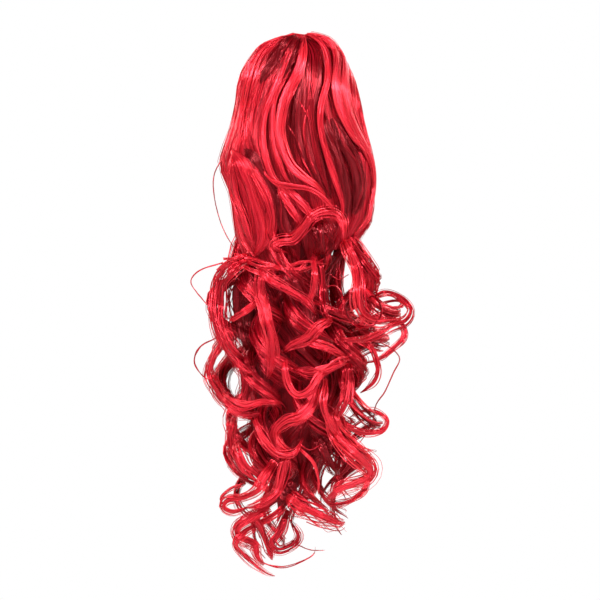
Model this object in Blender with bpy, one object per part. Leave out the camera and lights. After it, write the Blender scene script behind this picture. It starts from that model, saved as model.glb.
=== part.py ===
"""A clip-on ponytail hairpiece: a closed claw clip under a swept crown of hair, and a tail of loose ringlets.

Lengths are metres and +Z is up. The origin is the middle of the clip's grip, where it clips on.
The front of the hairpiece faces -Y, and the clip opens towards +Y.
"""

import math
from collections import namedtuple

import bmesh
import bpy
from mathutils import Vector

# Claw clip
CLIP_LENGTH = 0.076
CLIP_BORE_RADIUS = 0.0235
CLIP_WALL = 0.0032
CLIP_TAB_REACH = 0.019
CLIP_TAB_SPREAD = 0.017
CLIP_TAB_HEIGHT = 0.044
CLIP_TAB_THICKNESS = 0.0032
HINGE_RADIUS = 0.0046
HINGE_LENGTH = 0.060
TOOTH_GAP_COUNT = 6
TOOTH_GAP_HEIGHT = 0.0056
TOOTH_GAP_END = 0.0050

# Hair
HAIR_LENGTH = 0.550
CROWN_HEIGHT = 0.215
CROWN_WIDTH = 0.155
CROWN_DEPTH = 0.118
CROWN_FORWARD = 0.025
CROWN_TOP_WALL = 0.013
CROWN_LOCK_THICKNESS = 0.018
CROWN_LOCK_KEEL = 0.008
CORE_SINK = 0.0085
TAIL_WIDTH = 0.205
TAIL_DEPTH = 0.132
TAIL_FORWARD = 0.020
CURL_RADIUS = 0.026
CURL_WIDTH = 0.025
CURL_THICKNESS = 0.015

# Fits
SEAT_GAP = 0.0003
WELD = 0.000002
CLIP_END_ROOM = 0.005
CUT_MARGIN = 0.020

CLIP_OUTER_RADIUS = CLIP_BORE_RADIUS + CLIP_WALL
CLIP_FRONT = CLIP_OUTER_RADIUS + CLIP_TAB_REACH
HINGE_Y = -CLIP_OUTER_RADIUS - HINGE_RADIUS / 4
TOP_Z = CLIP_LENGTH / 2 + CLIP_END_ROOM + CROWN_TOP_WALL
WAIST_Z = TOP_Z - CROWN_HEIGHT
TAIL_LENGTH = HAIR_LENGTH - CROWN_HEIGHT

CLIP_SIDES = 28
HINGE_SIDES = 12
LOCK_SIDES = 6
CORE_SIDES = 16
CROWN_RINGS = 15
CURL_RINGS_A_TURN = 10

Section = namedtuple("Section", "drop width depth shift")

# The crown's outline: drop is a share of CROWN_HEIGHT, width and shift of half CROWN_WIDTH,
# and depth of half CROWN_DEPTH.
CROWN_SECTIONS = (
    Section(drop=0.00, width=0.16, depth=0.20, shift=0.02),
    Section(drop=0.05, width=0.47, depth=0.58, shift=-0.04),
    Section(drop=0.11, width=0.61, depth=0.74, shift=-0.06),
    Section(drop=0.22, width=0.74, depth=0.86, shift=-0.07),
    Section(drop=0.34, width=0.82, depth=0.93, shift=-0.05),
    Section(drop=0.45, width=0.89, depth=0.97, shift=-0.06),
    Section(drop=0.62, width=1.00, depth=1.00, shift=-0.06),
    Section(drop=0.75, width=0.95, depth=0.96, shift=-0.02),
    Section(drop=0.90, width=0.86, depth=0.87, shift=-0.01),
    Section(drop=1.00, width=0.78, depth=0.80, shift=-0.06),
)

# The tail's inner bulk: drop is a share of TAIL_LENGTH, width and shift of half TAIL_WIDTH,
# and depth of half TAIL_DEPTH.
TAIL_SECTIONS = (
    Section(drop=0.00, width=0.48, depth=0.58, shift=-0.06),
    Section(drop=0.10, width=0.40, depth=0.54, shift=-0.15),
    Section(drop=0.22, width=0.40, depth=0.54, shift=-0.14),
    Section(drop=0.40, width=0.42, depth=0.54, shift=-0.10),
    Section(drop=0.60, width=0.34, depth=0.44, shift=-0.10),
    Section(drop=0.74, width=0.20, depth=0.28, shift=-0.16),
    Section(drop=0.84, width=0.07, depth=0.12, shift=-0.24),
)

CrownLock = namedtuple("CrownLock", "name root_turn waist_turn swing width proud")

# One row for each swept lock of the crown. Turns are degrees round the crown from the front,
# positive to +X. Swing bows the lock sideways, width is a share of the crown's half width,
# and a lock with proud 1 reaches the crown's outline, with 0 it is CORE_SINK lower.
CROWN_LOCKS = (
    CrownLock(name="front_left_sweep", root_turn=-34, waist_turn=-30, swing=-9, width=0.25, proud=1.10),
    CrownLock(name="front_centre_sweep", root_turn=-8, waist_turn=26, swing=-18, width=0.24, proud=1.00),
    CrownLock(name="front_right_sweep", root_turn=20, waist_turn=36, swing=-6, width=0.20, proud=0.50),
    CrownLock(name="right_bow", root_turn=46, waist_turn=54, swing=26, width=0.24, proud=1.30),
    CrownLock(name="right_side", root_turn=92, waist_turn=96, swing=4, width=0.30, proud=1.35),
    CrownLock(name="right_back", root_turn=132, waist_turn=128, swing=-4, width=0.30, proud=1.00),
    CrownLock(name="back_right", root_turn=164, waist_turn=162, swing=-3, width=0.27, proud=0.80),
    CrownLock(name="back_left", root_turn=-164, waist_turn=-162, swing=3, width=0.27, proud=0.80),
    CrownLock(name="left_back", root_turn=-130, waist_turn=-126, swing=4, width=0.30, proud=1.00),
    CrownLock(name="left_side", root_turn=-94, waist_turn=-90, swing=-4, width=0.30, proud=1.30),
    CrownLock(name="left_bow", root_turn=-62, waist_turn=-54, swing=-14, width=0.28, proud=1.25),
)

Curl = namedtuple(
    "Curl", "name root_turn across_top across_end depth_top depth_end end radius turns phase loop width"
)

# One row for each ringlet of the tail. Root turn is where it leaves the waist, as above.
# Across and depth place its middle line as shares of half TAIL_WIDTH and half TAIL_DEPTH,
# end is a share of TAIL_LENGTH, phase is in degrees with 0 towards +X, and loop lifts and
# drops each turn by a share of its radius, which opens the turn towards the front.
CURLS = (
    Curl("left_edge", -86, -0.68, -0.54, -0.10, 0.00, 0.80, 1.15, 3.4, -95, 0.35, 1.05),
    Curl("left_inner", -58, -0.40, -0.36, -0.60, -0.50, 0.76, 0.75, 2.9, 40, 0.20, 1.00),
    Curl("front_left", -30, -0.22, -0.26, -0.70, -0.45, 0.95, 0.85, 3.5, 190, 0.30, 1.10),
    Curl("front_right", 12, 0.06, 0.16, -0.72, -0.50, 0.86, 0.85, 3.2, 300, 0.30, 1.05),
    Curl("right_inner", 56, 0.57, 0.34, -0.40, -0.30, 0.78, 0.85, 2.8, -130, 0.25, 1.00),
    Curl("right_loop", 78, 0.84, 0.44, -0.15, -0.12, 0.78, 1.15, 2.3, 139, 0.80, 0.85),
    Curl("right_edge", 104, 0.62, 0.42, 0.28, 0.25, 0.88, 1.15, 2.4, 75, 0.80, 0.95),
    Curl("lower_left", -110, -0.50, -0.53, 0.25, 0.10, 0.88, 1.00, 3.6, 110, 0.40, 1.05),
    Curl("lower_tip", -8, -0.12, -0.38, -0.20, -0.10, 0.96, 1.05, 3.1, 212, 0.50, 1.15),
    Curl("lower_right", 34, 0.20, 0.34, -0.30, -0.15, 0.85, 1.10, 2.6, 244, 0.45, 1.05),
    Curl("back_right", 132, 0.42, 0.26, 0.66, 0.50, 0.82, 0.85, 2.9, 20, 0.25, 1.00),
    Curl("back_centre", 172, 0.00, 0.00, 0.72, 0.56, 0.90, 0.90, 3.1, 150, 0.25, 1.10),
    Curl("back_left", -138, -0.40, -0.30, 0.62, 0.46, 0.80, 0.85, 2.8, 330, 0.25, 1.00),
)


def remove_old_objects():
    for old in list(bpy.data.objects):
        bpy.data.objects.remove(old, do_unlink=True)


def new_collection(name):
    collection = bpy.data.collections.new(name)
    bpy.context.scene.collection.children.link(collection)
    return collection


def principled(name, colour, roughness, coat=0.0):
    material = bpy.data.materials.new(name)
    material.use_nodes = True
    shader = material.node_tree.nodes["Principled BSDF"]
    shader.inputs["Base Color"].default_value = (*colour, 1.0)
    shader.inputs["Roughness"].default_value = roughness
    shader.inputs["Metallic"].default_value = 0.0
    shader.inputs["Coat Weight"].default_value = coat
    return material


def object_from(work, name, collection):
    """Turns a bmesh into an object with its faces pointing out."""
    bmesh.ops.recalc_face_normals(work, faces=work.faces)
    mesh = bpy.data.meshes.new(name)
    work.to_mesh(mesh)
    work.free()
    made = bpy.data.objects.new(name, mesh)
    collection.objects.link(made)
    return made


def as_cutter(made):
    made.hide_render = True
    made.display_type = "WIRE"
    return made


def boolean(target, operation, other):
    """Adds a Boolean whose operand is an object, or a collection of locks that cross each other."""
    modifier = target.modifiers.new(operation.lower(), "BOOLEAN")
    modifier.operation = operation
    if isinstance(other, bpy.types.Collection):
        modifier.solver = "MANIFOLD"
        modifier.operand_type = "COLLECTION"
        modifier.collection = other
    else:
        modifier.solver = "EXACT"
        modifier.object = other


def shell_volume(faces):
    return sum(f.verts[0].co.dot(f.verts[1].co.cross(f.verts[2].co)) for f in faces) / 6


def keep_outer_skin(made):
    """Applies an object's Booleans and fills the pockets that its crossing locks close in."""
    graph = bpy.context.evaluated_depsgraph_get()
    mesh = bpy.data.meshes.new_from_object(made.evaluated_get(graph))
    made.modifiers.clear()
    work = bmesh.new()
    work.from_mesh(mesh)
    bmesh.ops.triangulate(work, faces=work.faces)
    shared = [edge for edge in work.edges if len(edge.link_faces) > 2]
    bmesh.ops.split_edges(work, edges=shared)
    unseen = set(work.faces)
    shells = []
    while unseen:
        waiting = [unseen.pop()]
        shell = []
        while waiting:
            face = waiting.pop()
            shell.append(face)
            near = {other for edge in face.edges for other in edge.link_faces} & unseen
            unseen -= near
            waiting.extend(near)
        shells.append(shell)
    outer = max(shells, key=shell_volume)
    inner = [face for shell in shells if shell is not outer for face in shell]
    bmesh.ops.delete(work, geom=inner, context="FACES")
    bmesh.ops.remove_doubles(work, verts=work.verts, dist=WELD)
    work.to_mesh(mesh)
    work.free()
    made.data = mesh


def box(name, low, high, collection):
    work = bmesh.new()
    bmesh.ops.create_cube(work, size=1.0)
    middle = (low + high) / 2
    size = high - low
    for vertex in work.verts:
        vertex.co = Vector(c * s + m for c, s, m in zip(vertex.co, size, middle))
    return object_from(work, name, collection)


def cylinder(name, radius, low_z, high_z, centre, sides, collection):
    work = bmesh.new()
    bmesh.ops.create_cone(
        work, cap_ends=True, segments=sides, radius1=radius, radius2=radius, depth=high_z - low_z
    )
    bmesh.ops.translate(work, verts=work.verts, vec=Vector((*centre, (low_z + high_z) / 2)))
    return object_from(work, name, collection)


def prism(name, outline, low_z, high_z, collection):
    """Extrudes a flat outline along Z."""
    work = bmesh.new()
    face = work.faces.new([work.verts.new((x, y, low_z)) for x, y in outline])
    raised = bmesh.ops.extrude_face_region(work, geom=[face])["geom"]
    lifted = [item for item in raised if isinstance(item, bmesh.types.BMVert)]
    bmesh.ops.translate(work, verts=lifted, vec=Vector((0, 0, high_z - low_z)))
    return object_from(work, name, collection)


def read_section(sections, drop):
    """Reads a section between the rows, on a smooth curve through them."""
    last = len(sections) - 2
    row = max(i for i in range(last + 1) if i == 0 or sections[i].drop <= drop)
    before = sections[max(row - 1, 0)]
    start = sections[row]
    end = sections[row + 1]
    after = sections[min(row + 2, last + 1)]
    span = end.drop - start.drop
    along = min(max((drop - start.drop) / span, 0.0), 1.0)

    def smooth(column):
        rise_in = (getattr(end, column) - getattr(before, column)) / (end.drop - before.drop)
        rise_out = (getattr(after, column) - getattr(start, column)) / (after.drop - start.drop)
        square = along * along
        cube = square * along
        return (
            getattr(start, column) * (2 * cube - 3 * square + 1)
            + getattr(end, column) * (3 * square - 2 * cube)
            + rise_in * span * (cube - 2 * square + along)
            + rise_out * span * (cube - square)
        )

    return Section(drop, smooth("width"), smooth("depth"), smooth("shift"))


def crown_point(drop, turn):
    """A point of the crown's outer form, at a drop share and a turn in degrees from the front."""
    section = read_section(CROWN_SECTIONS, drop)
    half_width = CROWN_WIDTH / 2
    return Vector((
        half_width * (section.shift + section.width * math.sin(math.radians(turn))),
        -CROWN_FORWARD - CROWN_DEPTH / 2 * section.depth * math.cos(math.radians(turn)),
        TOP_Z - drop * CROWN_HEIGHT,
    ))


def crown_normal(drop, turn):
    step = 0.01
    down = crown_point(min(drop + step, 1.0), turn) - crown_point(max(drop - step, 0.0), turn)
    round_it = crown_point(drop, turn + 1) - crown_point(drop, turn - 1)
    return down.cross(round_it).normalized()


def loft(name, rings, collection):
    """Closes a row of rings into one solid, with a flat cap at each end."""
    work = bmesh.new()
    made = [[work.verts.new(point) for point in ring] for ring in rings]
    for first, second in zip(made, made[1:]):
        for i in range(len(first)):
            following = (i + 1) % len(first)
            work.faces.new((first[i], first[following], second[following], second[i]))
    work.faces.new(made[0])
    work.faces.new(reversed(made[-1]))
    bmesh.ops.triangulate(work, faces=work.faces)
    return object_from(work, name, collection)


def lock_rings(path, normals, half_widths, half_thicknesses, keel=0.0):
    """Flattened rings along a path, with the flat side to the normal. The keel roots edges and underside."""
    rings = []
    last = len(path) - 1
    for i, point in enumerate(path):
        tangent = (path[min(i + 1, last)] - path[max(i - 1, 0)]).normalized()
        side = tangent.cross(normals[i]).normalized()
        normal = side.cross(tangent)
        ring = []
        for corner in range(LOCK_SIDES):
            angle = 2 * math.pi * corner / LOCK_SIDES
            rooted = keel * (math.cos(angle) ** 2 + max(-math.sin(angle), 0.0))
            ring.append(
                point
                + side * half_widths[i] * math.cos(angle)
                + normal * (half_thicknesses[i] * math.sin(angle) - rooted)
            )
        rings.append(ring)
    return rings


def core(name, sections, point_at, inset, collection):
    """A plain inner body that follows the sections, with the locks fused round it."""
    rings = []
    for section in sections:
        rings.append([point_at(section.drop, 360 * i / CORE_SIDES, inset) for i in range(CORE_SIDES)])
    return loft(name, rings, collection)


def sunk_crown_point(drop, turn, inset):
    return crown_point(drop, turn) - crown_normal(drop, turn) * inset


def tail_core_point(drop, turn, inset):
    section = read_section(TAIL_SECTIONS, drop)
    return Vector((
        TAIL_WIDTH / 2 * section.shift + (TAIL_WIDTH / 2 * section.width - inset) * math.sin(math.radians(turn)),
        -TAIL_FORWARD - (TAIL_DEPTH / 2 * section.depth - inset) * math.cos(math.radians(turn)),
        WAIST_Z - drop * TAIL_LENGTH,
    ))


def crown_lock(row, collection):
    """A flat lock that runs from the top of the crown over its form to just past the waist."""
    path = []
    normals = []
    half_widths = []
    half_thicknesses = []
    for i in range(CROWN_RINGS):
        along = i / (CROWN_RINGS - 1)
        drop = along ** 1.25
        turn = row.root_turn + (row.waist_turn - row.root_turn) * along + row.swing * math.sin(math.pi * along)
        normal = crown_normal(drop, turn)
        half_thickness = CROWN_LOCK_THICKNESS / 2 * (0.45 + 0.55 * math.sin(math.pi * (0.1 + 0.8 * along)))
        sunk = half_thickness + CORE_SINK * (1.0 - row.proud)
        path.append(crown_point(drop, turn) - normal * sunk)
        normals.append(normal)
        half_widths.append(CROWN_WIDTH / 2 * row.width * read_section(CROWN_SECTIONS, drop).width)
        half_thicknesses.append(half_thickness)
    rings = lock_rings(path, normals, half_widths, half_thicknesses, keel=CROWN_LOCK_KEEL)
    return loft(row.name, rings, collection)


def curl_path(row):
    """The middle line of a ringlet, from inside the waist to its tip, and its outward directions."""
    rings = round(row.turns * CURL_RINGS_A_TURN) + 3
    waist = read_section(CROWN_SECTIONS, 1.0)
    root = Vector((
        CROWN_WIDTH / 2 * (waist.shift + 0.72 * waist.width * math.sin(math.radians(row.root_turn))),
        -CROWN_FORWARD - CROWN_DEPTH / 2 * 0.72 * waist.depth * math.cos(math.radians(row.root_turn)),
        WAIST_Z + CURL_WIDTH / 2,
    ))
    path = []
    outward = []
    for i in range(rings):
        along = i / (rings - 1)
        middle = Vector((
            TAIL_WIDTH / 2 * (row.across_top + (row.across_end - row.across_top) * along),
            -TAIL_FORWARD + TAIL_DEPTH / 2 * (row.depth_top + (row.depth_end - row.depth_top) * along),
            WAIST_Z - row.end * TAIL_LENGTH * along,
        ))
        angle = math.radians(row.phase) + 2 * math.pi * row.turns * along
        leave = min(along / 0.10, 1.0)
        leave = leave * leave * (3 - 2 * leave)
        reach = CURL_RADIUS * row.radius * (1.0 - 0.35 * along)
        spoke = Vector((math.cos(angle), math.sin(angle), row.loop * math.sin(angle)))
        point = middle + spoke * reach
        path.append(root.lerp(point, leave))
        outward.append(spoke)
    return path, outward


def curl(row, collection):
    path, outward = curl_path(row)
    count = len(path)
    half_widths = []
    half_thicknesses = []
    for i in range(count):
        along = i / (count - 1)
        swell = 0.62 + 0.38 * math.sin(math.pi * min(along + 0.12, 1.0) ** 0.8)
        taper = min((1 - along) / 0.12, 1.0)
        size = swell * (0.30 + 0.70 * taper)
        half_widths.append(CURL_WIDTH / 2 * row.width * size)
        half_thicknesses.append(CURL_THICKNESS / 2 * size)
    return loft(row.name, lock_rings(path, outward, half_widths, half_thicknesses), collection)


def build_clip(parts, cutters):
    """A closed claw clip in one piece: a slotted grip, a hinge barrel and two thumb tabs."""
    half = CLIP_LENGTH / 2
    clip = cylinder("claw_clip", CLIP_OUTER_RADIUS, -half, half, (0, 0), CLIP_SIDES, parts)
    barrel = cylinder(
        "hinge_barrel", HINGE_RADIUS, -HINGE_LENGTH / 2, HINGE_LENGTH / 2, (0, HINGE_Y), HINGE_SIDES, cutters
    )
    boolean(clip, "UNION", as_cutter(barrel))
    for side in (-1, 1):
        start = Vector((0.0, -CLIP_OUTER_RADIUS + CLIP_TAB_THICKNESS))
        tip = Vector((side * CLIP_TAB_SPREAD, -CLIP_FRONT))
        across = Vector((-(tip - start).y, (tip - start).x)).normalized() * CLIP_TAB_THICKNESS / 2
        outline = [start + across, start - across, tip - across, tip + across]
        tab = prism(
            "thumb_tab_left" if side < 0 else "thumb_tab_right",
            outline,
            -CLIP_TAB_HEIGHT / 2,
            CLIP_TAB_HEIGHT / 2,
            cutters,
        )
        boolean(clip, "UNION", as_cutter(tab))
    bore = cylinder("grip_bore", CLIP_BORE_RADIUS, -half - CUT_MARGIN, half + CUT_MARGIN, (0, 0), CLIP_SIDES, cutters)
    boolean(clip, "DIFFERENCE", as_cutter(bore))
    pitch = (CLIP_LENGTH - 2 * TOOTH_GAP_END + TOOTH_GAP_HEIGHT) / TOOTH_GAP_COUNT
    for i in range(TOOTH_GAP_COUNT):
        middle = (i - (TOOTH_GAP_COUNT - 1) / 2) * pitch
        slot = box(
            f"tooth_gap_{i + 1}",
            Vector((-CLIP_OUTER_RADIUS - CUT_MARGIN, 0.0, middle - TOOTH_GAP_HEIGHT / 2)),
            Vector((CLIP_OUTER_RADIUS + CUT_MARGIN, CLIP_OUTER_RADIUS + CUT_MARGIN, middle + TOOTH_GAP_HEIGHT / 2)),
            cutters,
        )
        boolean(clip, "DIFFERENCE", as_cutter(slot))
    return clip


def clip_hollow(cutters):
    """The hollow in the crown that holds the clip: an upright slot open towards +Y, and a pocket for the tabs."""
    side = CLIP_OUTER_RADIUS + SEAT_GAP
    slot_front = HINGE_RADIUS - HINGE_Y + SEAT_GAP
    slot = box(
        "clip_slot",
        Vector((-side, -slot_front, -CLIP_LENGTH / 2 - CLIP_END_ROOM)),
        Vector((side, CROWN_DEPTH, CLIP_LENGTH / 2 + CLIP_END_ROOM)),
        cutters,
    )
    pocket_side = CLIP_TAB_SPREAD + CLIP_TAB_THICKNESS / 2 + SEAT_GAP
    pocket_front = CLIP_FRONT + CLIP_TAB_THICKNESS / 2 + SEAT_GAP
    pocket_reach = CLIP_TAB_HEIGHT / 2 + SEAT_GAP
    pocket = box(
        "tab_pocket",
        Vector((-pocket_side, -pocket_front, -pocket_reach)),
        Vector((pocket_side, 0.0, pocket_reach)),
        cutters,
    )
    return as_cutter(slot), as_cutter(pocket)


def build_crown(parts, cutters):
    crown = core("crown_hair", CROWN_SECTIONS, sunk_crown_point, CORE_SINK, parts)
    locks = new_collection("crown_locks")
    for row in CROWN_LOCKS:
        as_cutter(crown_lock(row, locks))
    boolean(crown, "UNION", locks)
    for hollow in clip_hollow(cutters):
        boolean(crown, "DIFFERENCE", hollow)
    reach = CROWN_WIDTH + TAIL_WIDTH
    below = box(
        "below_waist",
        Vector((-reach, -reach, WAIST_Z - reach)),
        Vector((reach, reach, WAIST_Z + SEAT_GAP)),
        cutters,
    )
    boolean(crown, "DIFFERENCE", as_cutter(below))
    keep_outer_skin(crown)
    return crown


def build_tail(parts, cutters):
    tail = core("tail_hair", TAIL_SECTIONS, tail_core_point, 0.0, parts)
    curls = new_collection("tail_curls")
    for row in CURLS:
        as_cutter(curl(row, curls))
    boolean(tail, "UNION", curls)
    reach = CROWN_WIDTH + TAIL_WIDTH
    above = box(
        "above_waist",
        Vector((-reach, -reach, WAIST_Z)),
        Vector((reach, reach, WAIST_Z + reach)),
        cutters,
    )
    boolean(tail, "DIFFERENCE", as_cutter(above))
    keep_outer_skin(tail)
    return tail


def main():
    remove_old_objects()
    parts = new_collection("ponytail_hairpiece")
    cutters = new_collection("cutters")
    hair = principled("red_hair", (0.62, 0.012, 0.028), 0.32, coat=0.2)
    plastic = principled("clip_plastic", (0.02, 0.018, 0.018), 0.28)
    build_clip(parts, cutters).data.materials.append(plastic)
    build_crown(parts, cutters).data.materials.append(hair)
    build_tail(parts, cutters).data.materials.append(hair)


if __name__ == "__main__":
    main()
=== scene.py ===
"""The looks of the ponytail hairpiece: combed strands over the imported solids, a moulded clip, a stage.

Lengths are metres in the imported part's own frame: +Z is up, the front faces -Y and the clip opens to +Y.
"""

import math
import random
from collections import namedtuple
from contextlib import contextmanager

import bmesh
import bpy
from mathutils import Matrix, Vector


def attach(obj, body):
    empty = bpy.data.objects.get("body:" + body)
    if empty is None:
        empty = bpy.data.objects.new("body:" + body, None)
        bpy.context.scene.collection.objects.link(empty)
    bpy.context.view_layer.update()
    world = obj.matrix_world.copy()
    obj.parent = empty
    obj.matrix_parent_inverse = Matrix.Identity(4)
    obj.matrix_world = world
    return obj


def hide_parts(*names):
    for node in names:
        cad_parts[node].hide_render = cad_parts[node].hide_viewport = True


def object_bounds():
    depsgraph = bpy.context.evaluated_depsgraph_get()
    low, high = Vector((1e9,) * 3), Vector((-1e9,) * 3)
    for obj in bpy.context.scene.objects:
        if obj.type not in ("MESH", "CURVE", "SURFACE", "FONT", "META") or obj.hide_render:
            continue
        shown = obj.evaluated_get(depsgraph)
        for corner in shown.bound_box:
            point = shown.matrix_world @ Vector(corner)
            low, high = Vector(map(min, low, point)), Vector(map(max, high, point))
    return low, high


bl_info = {
    "name": "Ponytail Hairpiece",
    "version": (1, 0, 0),
    "blender": (4, 5, 0),
    "location": "3D View > Sidebar > Hairpiece",
    "description": "Dresses a clip-on ponytail hairpiece with combed and curled strands",
    "category": "Object",
}

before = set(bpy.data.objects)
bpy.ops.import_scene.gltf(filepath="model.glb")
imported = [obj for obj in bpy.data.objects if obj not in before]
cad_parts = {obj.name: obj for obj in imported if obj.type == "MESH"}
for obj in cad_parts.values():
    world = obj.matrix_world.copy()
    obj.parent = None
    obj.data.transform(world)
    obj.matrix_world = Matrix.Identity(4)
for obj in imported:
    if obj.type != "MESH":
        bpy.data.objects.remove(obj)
CAD_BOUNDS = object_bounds()

# Driving sizes of the hair, the same as in the part's source
HAIR_LENGTH = 0.550
CROWN_HEIGHT = 0.215
CROWN_WIDTH = 0.155
CROWN_DEPTH = 0.118
CROWN_FORWARD = 0.025
TAIL_WIDTH = 0.205
TAIL_DEPTH = 0.132
TAIL_FORWARD = 0.020
CURL_RADIUS = 0.026
CURL_WIDTH = 0.025
CURL_THICKNESS = 0.015
TOP_Z = 0.056
WAIST_Z = TOP_Z - CROWN_HEIGHT
TAIL_LENGTH = HAIR_LENGTH - CROWN_HEIGHT

# The photograph's frame: the hairpiece is this many pixels tall, and its middle line stands here
PHOTO_SIZE = 600
PHOTO_HAIR_PIXELS = 541
PHOTO_TOP_PIXEL = 33
PHOTO_MIDDLE_PIXEL = 302
STEP = HAIR_LENGTH / PHOTO_HAIR_PIXELS
MILLIMETRE = 0.001

SEED = 7

Section = namedtuple("Section", "drop width depth shift")

# The crown's outline: drop is a share of CROWN_HEIGHT, width and shift of half CROWN_WIDTH, and depth of
# half CROWN_DEPTH. The combed layer follows the photo a little closer than the rows of the part's source.
CROWN_SECTIONS = (
    Section(drop=0.00, width=0.16, depth=0.20, shift=0.02),
    Section(drop=0.05, width=0.45, depth=0.56, shift=-0.04),
    Section(drop=0.11, width=0.59, depth=0.73, shift=-0.06),
    Section(drop=0.22, width=0.74, depth=0.86, shift=-0.07),
    Section(drop=0.34, width=0.81, depth=0.93, shift=-0.045),
    Section(drop=0.45, width=0.875, depth=0.97, shift=-0.045),
    Section(drop=0.62, width=1.00, depth=1.00, shift=-0.06),
    Section(drop=0.75, width=0.93, depth=0.96, shift=0.00),
    Section(drop=0.90, width=0.885, depth=0.87, shift=0.015),
    Section(drop=1.00, width=0.78, depth=0.80, shift=-0.06),
)

Sweep = namedtuple("Sweep", "root_turn waist_turn swing lift")

# How the combed layer of the crown runs, read between the rows. Turns are degrees round the crown from
# the front, positive to +X, swing bows a lock sideways and lift is millimetres from the crown's outline.
CROWN_COMBING = (
    Sweep(root_turn=-180, waist_turn=-180, swing=0, lift=-4),
    Sweep(root_turn=-90, waist_turn=-88, swing=-4, lift=-3),
    Sweep(root_turn=-34, waist_turn=-28, swing=-12, lift=-4),
    Sweep(root_turn=-6, waist_turn=16, swing=-16, lift=-7),
    Sweep(root_turn=20, waist_turn=34, swing=-6, lift=-8),
    Sweep(root_turn=46, waist_turn=52, swing=16, lift=-5),
    Sweep(root_turn=90, waist_turn=90, swing=4, lift=-4),
    Sweep(root_turn=180, waist_turn=180, swing=0, lift=-4),
)
CROWN_SWEEP_COUNT = 34
CROWN_SWEEP_WIDTH = 0.012
CROWN_SWEEP_THICKNESS = 0.003
CROWN_SWEEP_RINGS = 18
# The locks start this far below the top and end between these drop shares, and each strays from its row
# by at most so many millimetres in lift and degrees in swing
CROWN_SWEEP_SINK = 0.004
CROWN_SWEEP_ENDS = (1.08, 1.20)
CROWN_SWEEP_SPREAD = (1.2, 3)
CROWN_SWEEP_FULLNESS = (0.8, 1.15)
# The combed layer's tones are painted shade of a layer under the front locks, each lock's drawn at random
# within these.
CROWN_SWEEP_PAINTED_SHADE = (0.3, 0.7)
# At the root a lock has these shares of its width and thickness, and from there it thickens at this rate.
# Its width follows the crown's, down to a narrowest share, and its tip narrows at a rate to its own share.
CROWN_SWEEP_ROOT = (0.12, 0.35)
CROWN_SWEEP_THICKENING = 3
CROWN_SWEEP_NARROWEST = 0.22
CROWN_SWEEP_TIP = 0.2
CROWN_SWEEP_TIP_RATE = 6
# The rings stand closer together near the root
CROWN_SWEEP_CROWDING = 1.2
# Below the waist they gather to the middle at this rate
WAIST_GATHER = 1.9
# Locks at the back start under the clip's arch, give or take a little
CLIP_TURN = 136
CLIP_START = 0.46
CLIP_START_SPREAD = (-0.015, 0.01)
# Between these turns the waist's locks stop short, over a gap that shows through
GAP_TURNS = (14, 150)
GAP_BACK_TURN = 95
GAP_FALL = 0.04

Lock = namedtuple("Lock", "name width tone lift points")
FreeLock = namedtuple("FreeLock", "name width tone points")
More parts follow.
